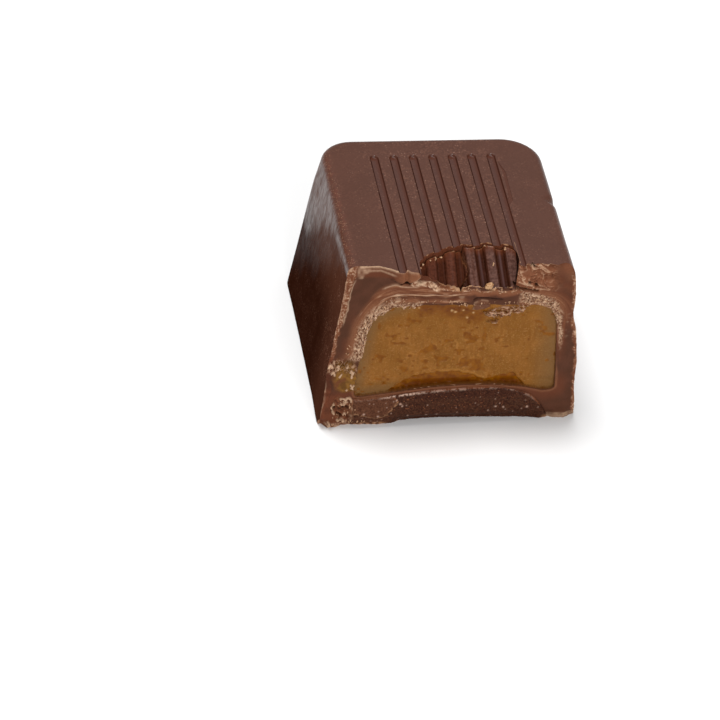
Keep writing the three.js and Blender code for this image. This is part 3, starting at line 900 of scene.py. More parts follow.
def lip(f):
    """The thin point of the top plate left of the notch, standing out over its crack."""
    x, z = f.x, f.z
    underside = np.interp(x, LIP_UNDERSIDE["x"], LIP_UNDERSIDE["z"]) + 0.05 * noise(x, x, 0.4, 71)
    reach = np.interp(x, LIP_REACH["x"], LIP_REACH["out"]) - 0.3 * hump(x, -5.0, 0.2)
    reach = reach + 0.04 * noise(x, z, 0.4, 72)
    before_tip = smooth(-x, 3.72, 3.86)
    over = smooth(z, underside, underside + 0.08 + 0.9 * smooth(-x, 5.5, 6.6)) * before_tip
    gape = smooth(x, -5.7, -5.4) * smooth(-x, 4.4, 4.65) * (1 - over)
    crack_floor = np.interp(x, CRACK_FLOOR["x"], CRACK_FLOOR["z"])
    gape = gape * smooth(z - crack_floor - 0.05 * noise(x, x, 0.2, 74), 0, 0.07)
    f.tone("red", before_tip * smooth(x, -5.6, -5.2) * smooth(z, 14.6, 14.9))
    f.tone("tan", before_tip * smooth(x, -5.6, -5.2) * smooth(z, 14.6, 14.9) * 0.35)
    beyond_tip = smooth(x, -4.0, -3.85) * smooth(-x, 1.8, 2.4) * smooth(z, 14.85, 15.0)
    f.tone("red", beyond_tip)
    f.tone("dark", beyond_tip * 0.3)
    f.become(f.proud * 0.5, over)
    f.raise_by(reach * over)
    f.become(-0.3, gape)
    f.tone("red", smooth(z, 15.1, 15.5) * smooth(-x, 3.6, 3.8) * 0.7)
    f.tone("tan", over * smooth(x, -6.4, -5.0) * (0.7 + 0.2 * noise(x, z, 0.4, 75)))
    f.tone("pale", ridge(LIP_EDGE, x, z, 0.17, 0.05) * (0.3 + 0.55 * smooth(-x, 4.2, 5.4)))
    f.tone("pale", hump(z, underside + 0.1, 0.08) * smooth(x, -4.7, -4.1) * before_tip * 0.7)
    f.tone("pale", ridge(LIP_STREAK, x, z, 0.1) * 0.45)
    f.tone("pale", patch(LIP_PATCH, x, z) * (0.35 + 0.25 * noise(x, z, 0.25, 73)))
    f.tone("pale", ridge(UNDER_LIP, x, z, 0.08) * 0.5)
    f.raise_by(0.05 * ridge(UNDER_LIP, x, z, 0.09))
    # Painted shade: the crack under the lip is laid dark.
    f.clear(smooth(gape, 0.1, 0.4))
    f.tone("dark", smooth(gape, 0.1, 0.4))


FLAKE_CRACK = curve_through([(4.7, 14.6), (4.95, 14.38), (5.4, 14.24), (6.1, 14.18), (6.7, 14.05),
                             (7.1, 13.95)])
FLAKE_HOLES = [(6.4, 16.3), (6.55, 16.2), (6.75, 14.68), (6.15, 14.9)]


def flake(f):
    """The rough loose flake right of the notch, set back at the top and lifted over its crack."""
    x, z = f.x, f.z
    left_edge = 4.72 + 0.4 * smooth(z, 14.7, 16.6)
    across = smooth(x, left_edge, left_edge + 0.12) * smooth(9.6 - x + 0.5 * noise(x, z, 0.9, 87), 0, 1.9)
    over = across * smooth(z, 14.28 - 0.12 * (x - 5), 14.4 - 0.12 * (x - 5))
    slant = math.radians(-16)
    lengthwise, upwards = x * math.cos(slant) + z * math.sin(slant), z * math.cos(slant) - x * math.sin(slant)
    torn = strands(lengthwise / 2.6, upwards, 0.26, 81)
    steps = noise(lengthwise * 0.5, upwards * 1.6 + 0.3 * noise(x, z, 0.6, 83), 0.9, 84)
    rags = rough(x, z, 0.6, 82)
    f.raise_by(over * (0.22 - 0.95 * smooth(z, 14.4, 16.4) + 0.16 * steps + 0.12 * torn + 0.1 * rags))
    f.raise_by(over * smooth(z, 15.9, 16.3) * 0.2 * noise(x, z * 0.3, 0.3, 85))
    f.raise_by(-0.95 * ridge(FLAKE_CRACK, x, z, 0.13, 0.08))
    f.tone("red", over * 0.9)
    f.tone("tan", over * (0.4 + 0.3 * torn + 0.4 * rags))
    rough_part = smooth(9.3 - x + 0.6 * noise(x, z, 0.6, 86), 0, 1.9)
    f.tone("pale", over * rough_part * smooth(torn + 0.5 * rags + 0.25 * smooth(z, 16.0, 16.3), 0.6, 1.05)
           * 0.65)
    # Painted shade: dark on the lower steps, in the holes and along the crack under the flake.
    f.tone("dark", over * below(x, 7.2, 0.8) * smooth(-steps, 0.35, 0.7) * (1 - torn) * 0.6)
    f.fleck("dark", FLAKE_HOLES, 0.13, -0.35)
    f.tone("dark", 1.3 * ridge(FLAKE_CRACK, x, z, 0.13, 0.08))


SMEAR = np.array([(-11.8, 6.0), (-11.3, 7.0), (-10.2, 7.0), (-9.2, 6.8), (-8.7, 5.4), (-8.75, 3.9),
                  (-9.8, 3.7), (-10.7, 3.9), (-11.2, 5.0)])
SMEAR_CURLS = [curve_through(line) for line in (
    [(-10.73, 6.49), (-10.6, 6.3), (-10.5, 6.5)], [(-10.6, 6.3), (-10.65, 6.0)],
    [(-9.51, 5.69), (-9.4, 5.95), (-9.25, 5.75), (-9.1, 5.85)], [(-9.36, 5.85), (-9.32, 5.1)],
    [(-10.47, 5.21), (-10.33, 5.46), (-10.2, 5.7)], [(-9.36, 4.06), (-9.2, 4.3), (-9.0, 4.42)],
    [(-9.45, 4.5), (-9.25, 4.3), (-9.15, 3.95)], [(-11.2, 5.5), (-11.0, 5.9), (-10.85, 5.4)],
    [(-11.5, 6.2), (-11.3, 6.5), (-11.1, 6.3)], [(-9.9, 6.2), (-9.7, 6.4)],
    [(-9.8, 4.0), (-9.65, 3.85)])]


def smear(f):
    """Low on the left wall the caramel has been dragged outwards over the chocolate, with crumbs in it."""
    x, z = f.x, f.z
    region = patch(SMEAR, x, z, 0.25)
    mottle = rough(x, z, 0.8, 30)
    torn = strands(x, z, 0.2, 59)
    heaped = 0.4 * noise(x, z, 0.9, 58) + 0.9 * hump(z, 6.3, 0.7) + 0.6 * hump(x, -9.05, 0.3)
    crumbly = region * smooth(heaped, 0.3, 0.7)
    f.raise_by(region * (0.05 + 0.12 * mottle) + 0.16 * crumbly * torn)
    f.tone("red", region * 0.9)
    f.tone("olive", region * smooth(mottle, -0.6, 0.1) * smooth(x, -11.3, -10.5))
    f.tone("pale", crumbly * smooth(torn, 0.5, 0.85) * 0.7)
    # Painted shade between the torn strands.
    f.tone("dark", crumbly * (1 - smooth(torn, 0.05, 0.3)) * 0.4)
    f.tone("dark", 0.8 * hump(np.hypot(x + 9.6, (z - 6.75) * 1.7), 0, 0.33))
    f.tone("dark", 0.45 * smooth(-x, 10.6, 11.2) * smooth(z, 3.6, 4.3) * below(z, 6.0, 0.6))
    f.curls(SMEAR_CURLS, 0.1, 0.16)


PIT = dict(x=-10.0, z=1.75, wide=1.0, tall=1.3)
PIT_HOLES = [(-10.2, 1.79), (-9.9, 1.9), (-10.72, 1.95), (-10.1, 1.1), (-9.71, 2.55), (-10.32, 1.3),
             (-9.55, 1.9)]
PIT_CURLS = [curve_through(line) for line in (
    [(-10.95, 2.3), (-10.95, 1.95), (-10.75, 1.5), (-10.6, 1.3)], [(-10.9, 2.3), (-10.7, 2.4)],
    [(-10.25, 2.75), (-10.0, 3.0), (-9.75, 2.85), (-9.6, 3.1), (-9.3, 3.0), (-9.2, 2.6)],
    [(-9.85, 2.7), (-9.72, 2.4), (-9.5, 2.6)], [(-10.2, 2.4), (-9.95, 2.25), (-9.8, 2.4)],
    [(-9.15, 2.2), (-8.98, 1.6), (-9.02, 1.0), (-9.2, 0.6)], [(-9.0, 1.55), (-8.85, 1.5)],
    [(-9.95, 1.35), (-9.72, 1.4), (-9.6, 1.2)], [(-10.4, 0.9), (-10.3, 0.6), (-10.0, 0.85)],
    [(-10.0, 0.85), (-9.9, 0.55), (-9.7, 0.7)], [(-11.3, 0.75), (-11.1, 0.45), (-11.25, 0.1)],
    [(-11.0, 0.5), (-10.95, 0.25)], [(-9.0, 0.35), (-8.7, 0.33), (-8.2, 0.3)])]


def pit(f):
    """A pit at the foot of the left wall, full of holes and pale curls."""
    x, z = f.x, f.z
    reach = np.hypot((x - PIT["x"]) / PIT["wide"], (z - PIT["z"]) / PIT["tall"]) + 0.3 * noise(x, z, 0.45, 50)
    region = below(reach, 1.1, 0.2)
    lump, own = lumps(x, z, 0.34, 29)
    f.raise_by(region * (0.25 * lump * own - 0.3))
    f.tone("red", smooth(-x, 9.0, 9.6) * below(z, 4.0, 0.7) * 0.8)
    f.tone("tan", region * smooth(lump, 0.2, 0.6) * 0.5)
    # Painted shade: dark in the clefts between the lumps, low at the far left of the pit, and in its holes.
    f.tone("dark", region * (1 - smooth(lump, 0.05, 0.35)) * 0.4)
    f.tone("dark", 0.25 * smooth(-x, 10.2, 10.9) * smooth(z, 0.6, 1.2) * below(z, 4.0, 0.7)
           * smooth(noise(x, z, 0.6, 46), -0.5, 0.5))
    f.fleck("dark", PIT_HOLES, 0.15, -0.4)
    f.curls(PIT_CURLS, 0.1, 0.3)
    foot = smooth(-x, 7.8, 8.6) * below(z, 0.6, 0.3)
    f.raise_by(foot * 0.14 * noise(x, z, 0.3, 28))
    f.tone("pale", foot * (0.2 + 0.6 * noise(x, z, 0.3, 27)))


CHIP = np.array([(1.27, 12.0), (1.3, 12.75), (1.85, 13.05), (2.65, 12.95), (2.9, 12.3), (2.27, 12.0)])
CHIP_CRACK = curve_through([(1.1, 12.7), (1.5, 13.12), (2.2, 13.15), (3.3, 13.05), (4.2, 13.0)])
LACE = np.array([(2.3, 11.55), (2.9, 12.0), (3.7, 12.2), (5.0, 12.3), (5.8, 12.7), (6.4, 12.4), (5.9, 11.75),
                 (4.9, 11.4), (3.8, 11.05), (2.8, 11.1)])
LOWER_LACE = np.array([(2.6, 10.6), (3.3, 11.0), (4.1, 10.6), (3.6, 10.3)])


def caramel_break(f):
    """Where the caramel shows, a little hollow, with chocolate chips left on its upper edge."""
    x, z = f.x, f.z
    hanging = f.fringe * (0.16 + 0.2 * noise(x, z, 0.45, 47)) + f.corner * 0.2
    top_edge = 0.1 * noise(x, z, 0.5, 48) * smooth(z, 11.8, 12.4)
    strand = strands(x / 2.2 + 0.5 * z, z, 0.2, 61)
    chip = patch(CHIP, x, z, 0.06)
    lace = most(patch(LACE, x, z, 0.35), 0.75 * patch(LOWER_LACE, x, z, 0.35))
    lace = lace * smooth(strand + 0.45 * lace + 0.3 * noise(x, z, 0.5, 60), 0.62, 0.85)
    f.caramel = smooth(-f.out - hanging - top_edge, 0, 0.05) * (1 - most(chip, smooth(lace, 0.3, 0.5)))
    f.raise_by((chip * 0.1 + lace * 0.14 * strand) * smooth(-f.out, -0.1, 0.1))
    f.tone("red", lace)
    f.tone("tan", most(0.3 * chip, lace * smooth(strand, 0.1, 0.5)))
    f.tone("pale", lace * smooth(strand, 0.4, 0.9) * 0.7)
    f.tone("pale", chip * (1 - patch(CHIP, x, z, 0.3)) * smooth(noise(x, z, 0.3, 70), -0.3, 0.3) * 0.7)
    # Painted shade in the crack under the chip.
    f.tone("dark", ridge(CHIP_CRACK, x, z, 0.07) * 0.7)
    f.raise_by(-0.15 * ridge(CHIP_CRACK, x, z, 0.08))
    f.clear(f.caramel)
    f.become(caramel_height(f), f.caramel)


AMBER_TOP = curve_through([(-6.5, 3.2), (-5.2, 3.9), (-4.4, 4.6), (-3.6, 5.0), (-2.4, 5.15), (-1.0, 5.35),
                           (0.4, 5.3), (1.8, 4.9), (2.9, 4.5), (3.8, 4.6), (4.9, 4.95), (5.7, 4.95),
                           (6.1, 4.4), (7.0, 3.2)])
AMBER_BAND = curve_through([(-4.2, 12.3), (-3.0, 12.1), (-1.6, 12.0), (-0.5, 11.8), (0.4, 11.6), (1.3, 11.3),
                            (2.0, 11.0), (2.8, 10.5)])
AMBER_SPOTS = [(-1.0, 6.5), (-0.4, 6.75), (-1.7, 6.7), (1.2, 6.1), (1.9, 6.2), (0.5, 7.35), (-3.0, 7.4),
               (-2.3, 7.6), (1.2, 8.9), (1.7, 8.6), (-5.0, 8.4), (-5.7, 8.6), (-4.0, 7.1), (-4.7, 5.7),
               (-0.1, 8.0), (4.0, 8.6), (8.4, 9.1)]
CARAMEL_SPECKS = [(-0.61, 11.8), (-0.24, 11.6), (0.47, 11.8), (0.9, 10.95), (-4.1, 12.45), (-3.6, 12.15),
                  (1.4, 11.5)]


def caramel_height(f):
    """How far the caramel stands out, and its tones: amber where torn and glassy, olive near its sides as
    painted shade, painted shade deep in the hollow, at the right edge and along the amber band, and painted
    highlights over the hollow and round the torn patches.
    """
    x, z = f.x, f.z
    ceiling = np.interp(x, AMBER_TOP[:, 0], AMBER_TOP[:, 1]) + 0.1 * noise(x, x, 0.5, 41)
    hollow = below(z, ceiling, 0.16)
    torn = 0.5 * noise(x * 0.8, z, 0.7, 42) + 0.6 * noise(x * 0.7, z, 0.26, 43)
    middle = hump(x, 0.2, 4.6) * hump(z, 7.0, 2.2)
    spots = np.zeros(x.shape)
    for spot_x, spot_z in AMBER_SPOTS:
        spots = most(spots, hump(np.hypot(x - spot_x, (z - spot_z) * 1.5), 0, 0.55))
    blotches = torn + 0.7 * spots + 0.4 * middle
    patches = smooth(blotches, 0.4, 0.75)
    band = np.minimum(1.3 * ridge(AMBER_BAND, x, z, 0.75), 1) * (0.75 + 0.25 * torn)
    f.tone("amber", f.caramel * most(hollow, 0.85 * patches, band))
    # Painted shade: olive towards the caramel's sides, next to the shell.
    sides = most(smooth(x, 6.6, 9.3), smooth(f.out, -1.6, -0.2) * smooth(-x, 3.0, 6.0))
    f.tone("olive", f.caramel * sides * (1 - hollow) * 0.9)
    # Painted shade deep in the hollow, at the right edge and along the amber band.
    f.tone("dark", f.caramel * most(hollow * smooth(ceiling - z, 0.3, 1.1) * 0.7, smooth(x, 9.0, 9.35) * 0.3))
    f.tone("dark", f.caramel * band * 0.75)
    # Painted highlights: pale over the hollow's lip and round the torn amber patches.
    hollow_lip_highlight = hump(z - ceiling, 0.14, 0.09) * smooth(x, -2.4, -1.0) * below(x, 3.4, 1.0)
    torn_edge_highlights = hump(blotches, 0.32, 0.12) * smooth(noise(x, z, 0.2, 49), 0, 0.5) * (spots + middle)
    f.tone("pale", f.caramel * most(0.5 * hollow_lip_highlight, 0.5 * np.clip(torn_edge_highlights, 0, 1)))
    f.fleck("bloom", CARAMEL_SPECKS, 0.09)
    foot = 0.12 * below(z, 4.6, 0.6)
    pits = 0.05 * patches + 0.2 * hollow + foot
    return (-0.25 + 0.08 * rough(x, z, 2.6, 44) + 0.02 * rough(x, z, 0.4, 45) - pits
            + 0.2 * smooth(z, 11.4, 12.4))


BASE_TOP = dict(x=[-9.4, -9.0, -7.0, -5.0, -2.0, 0.0, 2.4, 4.4, 5.6, 6.5, 7.3, 8.1, 9.1],
                z=[2.9, 2.95, 3.12, 3.33, 3.6, 3.69, 3.75, 3.73, 3.5, 3.2, 2.75, 1.9, 0.3])
SCAB = curve_through([(-9.6, 3.1), (-6.9, 3.2), (-5.2, 2.95), (-5.1, 2.4), (-5.5, 1.75), (-6.0, 1.25),
                      (-6.8, 0.95), (-7.8, 1.1), (-8.6, 1.4), (-9.6, 1.3)])
BASE_SPECKS = [(-5.05, 2.75), (-4.7, 2.3), (-4.5, 2.1), (-6.7, 1.15), (-8.0, 1.45), (-3.9, 1.0),
               (-2.2, 0.95), (-1.2, 0.95), (4.9, 1.55), (4.2, 1.65), (7.1, 1.5), (8.4, 2.05)]


def base_break(f):
    """The closing layer breaks sandy, with bloom along its upper edge and a smear over its left end."""
    x, z = f.x, f.z
    top = np.interp(x, BASE_TOP["x"], BASE_TOP["z"])
    under = top - z
    f.base = smooth(under, -0.02, 0.08) * smooth(x, -9.6, -8.8)
    sand, own = lumps(x, z, 0.2, 52)
    scab = patch(SCAB, x, z, 0.12)
    smeared = most(scab, 0.7 * smooth(-5.3 - x + 0.5 * noise(x, z, 0.6, 53), 0, 0.6) * below(z, 1.3, 0.3))
    border = hump(patch(SCAB, x, z, 0.25), 0.5, 0.3) * below(z, 2.9, 0.3)
    torn = strands(x, z, 0.24, 54)
    height = (0.14 + 0.05 * rough(x, z, 0.5, 51) + 0.05 * sand * (1 - 0.8 * scab) + 0.09 * scab
              + 0.08 * border * torn)
    f.become(height, f.base)
    f.clear(f.base)
    near_top = below(under, 0.34, 0.25) * f.base * below(x, 8.6, 1.5)
    dense = 0.3 + 0.7 * hump(x, -4.6, 1.4) + 0.3 * below(x, 3, 5)
    dense = dense * (0.35 + 0.65 * smooth(x, -7.0, -5.8))
    f.tone("bloom", near_top * smooth(torn + 0.4 * noise(x, z, 0.5, 55), 0.35, 0.8) * dense)
    f.tone("bloom", f.base * smooth(own, 0.97, 0.98) * smooth(sand, 0.5, 0.8) * 0.35)
    f.tone("tan", smeared * f.base)
    f.tone("pale", border * smooth(torn, 0.3, 0.7) * f.base * 0.75)
    f.tone("pale", f.base * below(z, 0.32, 0.15) * smooth(-5.6 - x, 0, 0.8)
           * smooth(noise(x, z, 0.3, 57), -0.4, 0.4) * 0.8)
    f.fleck("bloom", BASE_SPECKS, 0.08, 0.04)
    # Painted shade in the clefts between the grains of sand.
    f.tone("dark", (1 - smeared) * f.base * (1 - smooth(sand, 0.0, 0.25)) * 0.5)


FOOT_WEAR = dict(x=[-11.8, -11.2, -10.0, -8.8, -6.6, -5.3, -4.6, -3.2, -0.6, 2.1, 4.7, 6.7, 7.9, 8.4, 8.9,
                    9.2, 9.6, 10.7, 11.5],
                 back=[0.75, -0.1, 0.31, 0.44, 0.33, 0.37, 0.7, 0.85, 0.88, 0.7, 0.54, 0.37, 0.2, 0.02, 0.12,
                       0.28, 0.05, -0.1, 0.43])


def worn_foot(f):
    """The lower edge is worn back unevenly."""
    x, z = f.x, f.z
    worn = np.interp(x, FOOT_WEAR["x"], FOOT_WEAR["back"])
    share = below(z, 1.3, 1.3)
    f.raise_by(-share * (worn + 0.14))
    right_foot = smooth(x, 8.2, 9.0) * below(z, 0.55, 0.3)
    f.tone("pale", right_foot * (0.45 + 0.4 * noise(x, z, 0.4, 56)))


FEATURES = [shaved_walls, outer_rims, streaks, fringe, corner_crumbs, ledge, lip, flake, smear, pit,
            caramel_break, base_break, worn_foot]


def face_cutter(name, low, high):
    """Everything in front of the broken face, between two corners (x, z)."""
    x, z = np.meshgrid(np.arange(low[0], high[0], BITE["step"]), np.arange(low[1], high[1], BITE["step"]))
    far = np.stack([x, Face(x, z).y, z], -1)
    near = far.copy()
    near[..., 1] = BAR["front"] - 8
    return make_mesh(name, *slab(far, near))


# ---------------------------------------------------------------- notch and pressed-down plate

NOTCH = dict(left=-3.75, right=5.38, slope=math.radians(31.5), rim=0.13, left_drop=0.2,
             floor=14.2, front=-2.5, step=0.06)
NOTCH_RIGHT = dict(y=[-2.5, -0.8, 0.7, 2.0], x=[4.45, 4.6, 5.1, 5.38])
NOTCH_BACK = curve_through([(-3.75, 1.5), (-3.66, 1.9), (-3.1, 2.6), (-2.3, 3.05), (-1.3, 3.6), (-0.4, 3.9),
                            (0.5, 4.2), (1.5, 4.15), (2.8, 4.35), (3.8, 4.1), (4.8, 3.95), (5.25, 3.3),
                            (5.38, 2.6)])
PLATE_CRACK = curve_through([(0.1, -0.5), (0.1, 0.5), (0.35, 1.2), (0.95, 2.0), (0.75, 3.0), (0.5, 4.3)])


def notch_back(x):
    """How far back the notch is broken at each place across the bar."""
    ragged = 0.1 * noise(x, x + 3, 0.4, 61) + 0.06 * noise(x, x, 0.16, 62)
    return np.interp(x, NOTCH_BACK[:, 0], NOTCH_BACK[:, 1]) + ragged


def notch_right(y):
    """The notch's right side, which leans in under the flake."""
    return np.interp(y, NOTCH_RIGHT["y"], NOTCH_RIGHT["x"])


def plate_crack(y):
    """Where across the bar the plate is cracked in two."""
    return np.interp(y, PLATE_CRACK[:, 1], PLATE_CRACK[:, 0]) + 0.07 * noise(y, y, 0.35, 60)


def before_breaking(x, y):
    """Where across the bar a place on the plate was before the plate broke off and turned a little."""
    on_right = smooth(x - plate_crack(y), 0.0, 0.1)
    return x - 0.22 - on_right * (0.26 - 0.06 * y)


def plate_front(x):
    """Where the plate meets the broken face."""
    return mean_plane(x, NOTCH["floor"])


def plate_crest(x, y):
    """1 on the crumbly ridge along the plate's front edge."""
    return smooth(plate_front(x) + 0.3 + 0.08 * noise(x, y, 0.3, 65) - y, 0, 0.14)


def pressed_plate(x, y):
    """Height of the piece of top plate that is pressed down into the notch, grooves and all."""
    behind = notch_back(x) - y
    left_piece = smooth(plate_crack(y) - x, -0.05, 0.03)
    depth = NOTCH["rim"] + NOTCH["left_drop"] * left_piece + behind * math.tan(NOTCH["slope"])
    depth = depth + all_grooves(before_breaking(x, y), y) * 1.3 * (1 - plate_crest(x, y))
    open_joint = 0.3 * hump(x, plate_crack(y) - 0.08, 0.06)
    rim_crack = hump(behind, 0.02, 0.09) * np.clip(0.28 + 0.2 * noise(x, y, 0.6, 63), 0, 1)
    side_crack = 0.35 * hump(x, notch_right(y) - 0.04, 0.07)
    crest = plate_crest(x, y) * (0.14 + 0.1 * noise(x, y, 0.35, 66) + 0.07 * noise(x, y, 0.16, 67))
    heap = 0.22 * smooth(-x, 1.8, 2.3) * smooth(plate_front(x) + 0.35 - y, 0, 0.3)
    return (BAR["height"] - depth - open_joint - rim_crack - side_crack + crest + heap
            + 0.015 * rough(x, y, 0.4, 64))


SCRATCH = dict(outline=[(5.6, 10.5), (5.95, 10.2), (6.32, 10.8), (6.36, 13.2), (6.4, 15.3), (5.92, 17.2),
                        (6.12, 15.2), (6.08, 13.2), (6.0, 11.4)],
               depth=0.04)


def scratch_cutter():
    """A long shallow scratch beside the last groove."""
    x, y = np.array(SCRATCH["outline"]).T
    height = BAR["height"]
    levels = [height - SCRATCH["depth"], height + 0.5]
    return make_mesh("scratch_cutter", *loft([np.stack([x, y, np.full(len(x), z)], -1) for z in levels]))


def notch_cutter():
    """Everything over the pressed-down plate."""
    left, right = NOTCH["left"], NOTCH["right"]
    xs = np.arange(left, right + NOTCH["step"] / 2, NOTCH["step"])
    x, share = np.meshgrid(xs, np.linspace(0, 1, 92))
    y = NOTCH["front"] + share * (notch_back(x) - NOTCH["front"])
    x = left + (x - left) * (notch_right(y) - left) / (right - left)
    plate = np.stack([x, y, pressed_plate(x, y)], -1)
    return make_mesh("notch_cutter", *under_level(plate, BAR["height"] + 2))


# ---------------------------------------------------------------- finishes


class Finish(Nodes):
    """A material that is built up node by node on one Principled shader."""

    def __init__(self, name):
        self.material = bpy.data.materials.new(name)
        self.material.use_nodes = True
        super().__init__(self.material.node_tree)
        self.shader = self.tree.nodes["Principled BSDF"]
        self.place = self.node("ShaderNodeTexCoord").outputs["Object"]
        self.tint = None

    def attribute(self, name):
        """A number stored on the piece."""
        return self.value("ShaderNodeAttribute", {"attribute_name": name}, output="Fac")

    def grain(self, size_mm, detail=2.0, stretch=(1, 1, 1)):
        """Noise from 0 to 1 with lumps of about the size, drawn out along an axis by stretch."""
        scale = tuple(1 / (size_mm * MM * s) for s in stretch)
        spread = self.node("ShaderNodeMapping", inputs={"Vector": self.place, "Scale": scale}).outputs[0]
        return self.value("ShaderNodeTexNoise", inputs={"Vector": spread, "Scale": 1.0, "Detail": detail})

    def upwards(self):
        """Height over the underside in millimetres."""
        return self.value("ShaderNodeSeparateXYZ", inputs=[self.place], output="Z") * 1000

    def flowing_lines(self):
        """Fine lines that follow the smears on the break."""
        along, beyond = self.attribute("flow_along") * 30, self.attribute("flow_beyond") * 130
        drawn = self.node("ShaderNodeCombineXYZ", inputs={"X": along, "Y": beyond}).outputs[0]
        return self.value("ShaderNodeTexNoise", inputs={"Vector": drawn, "Scale": 1.0, "Detail": 2.0})

    def specks(self, spacing_mm, share, size=0.3):
        """1 on small dots, spaced about so far apart, of which only a share is kept."""
        spaced = {"Vector": self.place, "Scale": 1 / (spacing_mm * MM)}
        cells = self.node("ShaderNodeTexVoronoi", {"feature": "F1"}, spaced)
        near = 1 - Value(self, cells.outputs["Distance"]).between(size * 0.5, size)
        own = self.value("ShaderNodeSeparateColor", inputs=[cells.outputs["Color"]])
        return near * (1 - own.between(share, share + 0.01))

    def mix(self, share, first, second):
        """A colour that goes from first to second as share goes from 0 to 1."""
        made = self.node("ShaderNodeMix", {"data_type": "RGBA"})
        self.feed(made.inputs[0], share)
        self.feed(made.inputs[6], first)
        self.feed(made.inputs[7], second)
        return made.outputs[2]

    def shades(self, share, first, second):
        """A colour between two eight-bit ones."""
        return self.mix(share, colour(*first), colour(*second))

    def lay(self, share, over):
        """Lays a colour over the tint so far. The share is a Value or the name of a number on the piece."""
        share = self.attribute(share) if isinstance(share, str) else share
        self.tint = self.mix(share, self.tint, colour(*over) if isinstance(over, tuple) else over)

    def relief(self, height, depth_mm, strength=1.0):
        settings = {"Strength": strength, "Distance": depth_mm * MM, "Height": height}
        return self.node("ShaderNodeBump", inputs=settings).outputs[0]

    def finish(self, **sockets):
        """Feeds the shader's sockets and hands over the material."""
        for name, what in sockets.items():
            self.feed(self.shader.inputs[name.replace("_", " ")], what)
        return self.material


def colour(red, green, blue):
    """Linear colour from the eight-bit values seen on a screen."""
    linear = [((c / 255 + 0.055) / 1.055) ** 2.4 if c > 10 else c / 255 / 12.92 for c in (red, green, blue)]
    return (*linear, 1.0)


def moulded_chocolate():
    """Chocolate as it leaves the mould: deep brown under a soft grey sheen, rubbed off in places."""
    f = Finish("moulded_chocolate")
    sheen, edge, low = f.attribute("sheen"), f.attribute("edge"), f.attribute("low")
    cloudy, fine = f.grain(4.0, 3.0), f.grain(0.3, 3.0)
    f.tint = f.shades(cloudy.between(0.3, 0.7), (77, 44, 31), (81, 47, 34))
    f.lay(fine.between(0.35, 0.75) * 0.35, (72, 39, 27))
    # Painted shade: the left wall is laid darker towards its bottom and its back.
    f.lay(low, (44, 19, 10))
    worn, mottled = f.grain(0.5, 2.0).between(0.4, 0.6), f.grain(0.16, 2.0)
    f.lay(edge * (worn * 0.5 + 0.2), (96, 52, 36))
    f.lay(edge * mottled.between(0.55, 0.7) * 0.6, (58, 28, 18))
    f.lay(edge * f.specks(0.14, 0.3, 0.45) * 0.55, (166, 124, 98))
    patchy = (f.grain(1.6, 2.0).between(0.36, 0.6) * 0.8 + 0.2) * f.attribute("dusty")
    f.lay(patchy * mottled.between(0.48, 0.66) * 0.6, (108, 70, 54))
    f.lay(patchy * (1 - mottled.between(0.36, 0.48)) * 0.4, (62, 33, 23))
    f.lay(patchy * f.specks(0.26, 0.4, 0.28) * 0.5, (166, 126, 106))
    # Painted shade in the grooves: darker floors, a dark crease down each groove's left wall, and a darker
    # red on the right flanks, round the ends and on the scratch.
    flank, crease = f.attribute("flank"), f.attribute("crease") * (cloudy.between(0.3, 0.6) * 0.4 + 0.6)
    f.lay(f.attribute("groove") * 0.45, (66, 38, 33))
    f.lay(flank, (76, 39, 26))
    f.lay(crease, (46, 22, 15))
    scratches = f.grain(0.14, 3.0, (1, 1, 9)).between(0.3, 0.7) * 0.6
    scratches = scratches + f.grain(0.8, 3.0, (1, 1, 2)).between(0.3, 0.7) * 0.4
    gloss = sheen * (1 + f.attribute("wall") * (scratches - 0.5) * 1.5) * (1 - crease) * (1 - flank * 0.4)
    return f.finish(Base_Color=f.tint, Roughness=0.55, Specular_IOR_Level=0.0, Coat_Weight=gloss,
                    Coat_Roughness=0.34, Coat_IOR=1.5,
                    Normal=f.relief(fine * 0.6 + cloudy * 1.5 + edge * mottled, 0.02, 0.6))


def broken_colour(f):
    """Lays the colours of a break in the chocolate, from its smooth brown to its palest crumbs."""
    fine = f.grain(0.16, 3.0)
    f.tint = f.shades(f.grain(1.2, 3.0).between(0.35, 0.7), (74, 43, 28), (82, 48, 33))
    f.lay("red", f.shades(fine, (92, 47, 28), (106, 57, 35)))
    f.lay("tan", f.shades(fine, (118, 72, 47), (144, 96, 67)))
    lined, lines = f.attribute("lined"), f.flowing_lines()
    f.lay(lined * lines.between(0.56, 0.68) * 0.6, (160, 114, 84))
    f.lay(lined * lines.between(0.44, 0.34) * 0.45, (76, 40, 26))
    f.lay("pale", f.shades(fine, (166, 126, 96), (218, 186, 156)))
    crumbly, crumb = f.attribute("crumbly"), f.grain(0.18, 1.5)
    f.lay(crumbly * crumb.between(0.5, 0.62) * 0.85, (222, 188, 158))
    # Painted shade in the gaps between the crumbs.
    f.lay(crumbly * (1 - crumb.between(0.34, 0.46)) * 0.6, (90, 46, 26))
    # Painted shade: the dark tone, laid in cracks, holes, clefts and furrows.
    f.lay("dark", (34, 14, 8))
    return fine


def broken_chocolate():
    """Chocolate where it was bitten, with caramel dragged over it low on the left."""
    f = Finish("broken_chocolate")
    fine = broken_colour(f)
    olive, rim = f.attribute("olive"), f.attribute("rim")
    ragged = f.grain(0.3, 3.0)
    near_top = (f.upwards() + (ragged - 0.5) * 0.3).between(BAR["height"] - 0.13, BAR["height"] - 0.07)
    f.lay(rim * near_top, f.shades(ragged.between(0.45, 0.65), (108, 62, 38), (186, 142, 106)))
    smeared = f.shades(f.grain(0.5, 2.0).between(0.35, 0.65), (94, 60, 20), (126, 86, 34))
    f.lay(olive * (1 - f.attribute("pale")), smeared)
    return f.finish(Base_Color=f.tint, Roughness=0.6 - olive * 0.2, Specular_IOR_Level=0.1,
                    Normal=f.relief(fine, 0.04, 0.6))


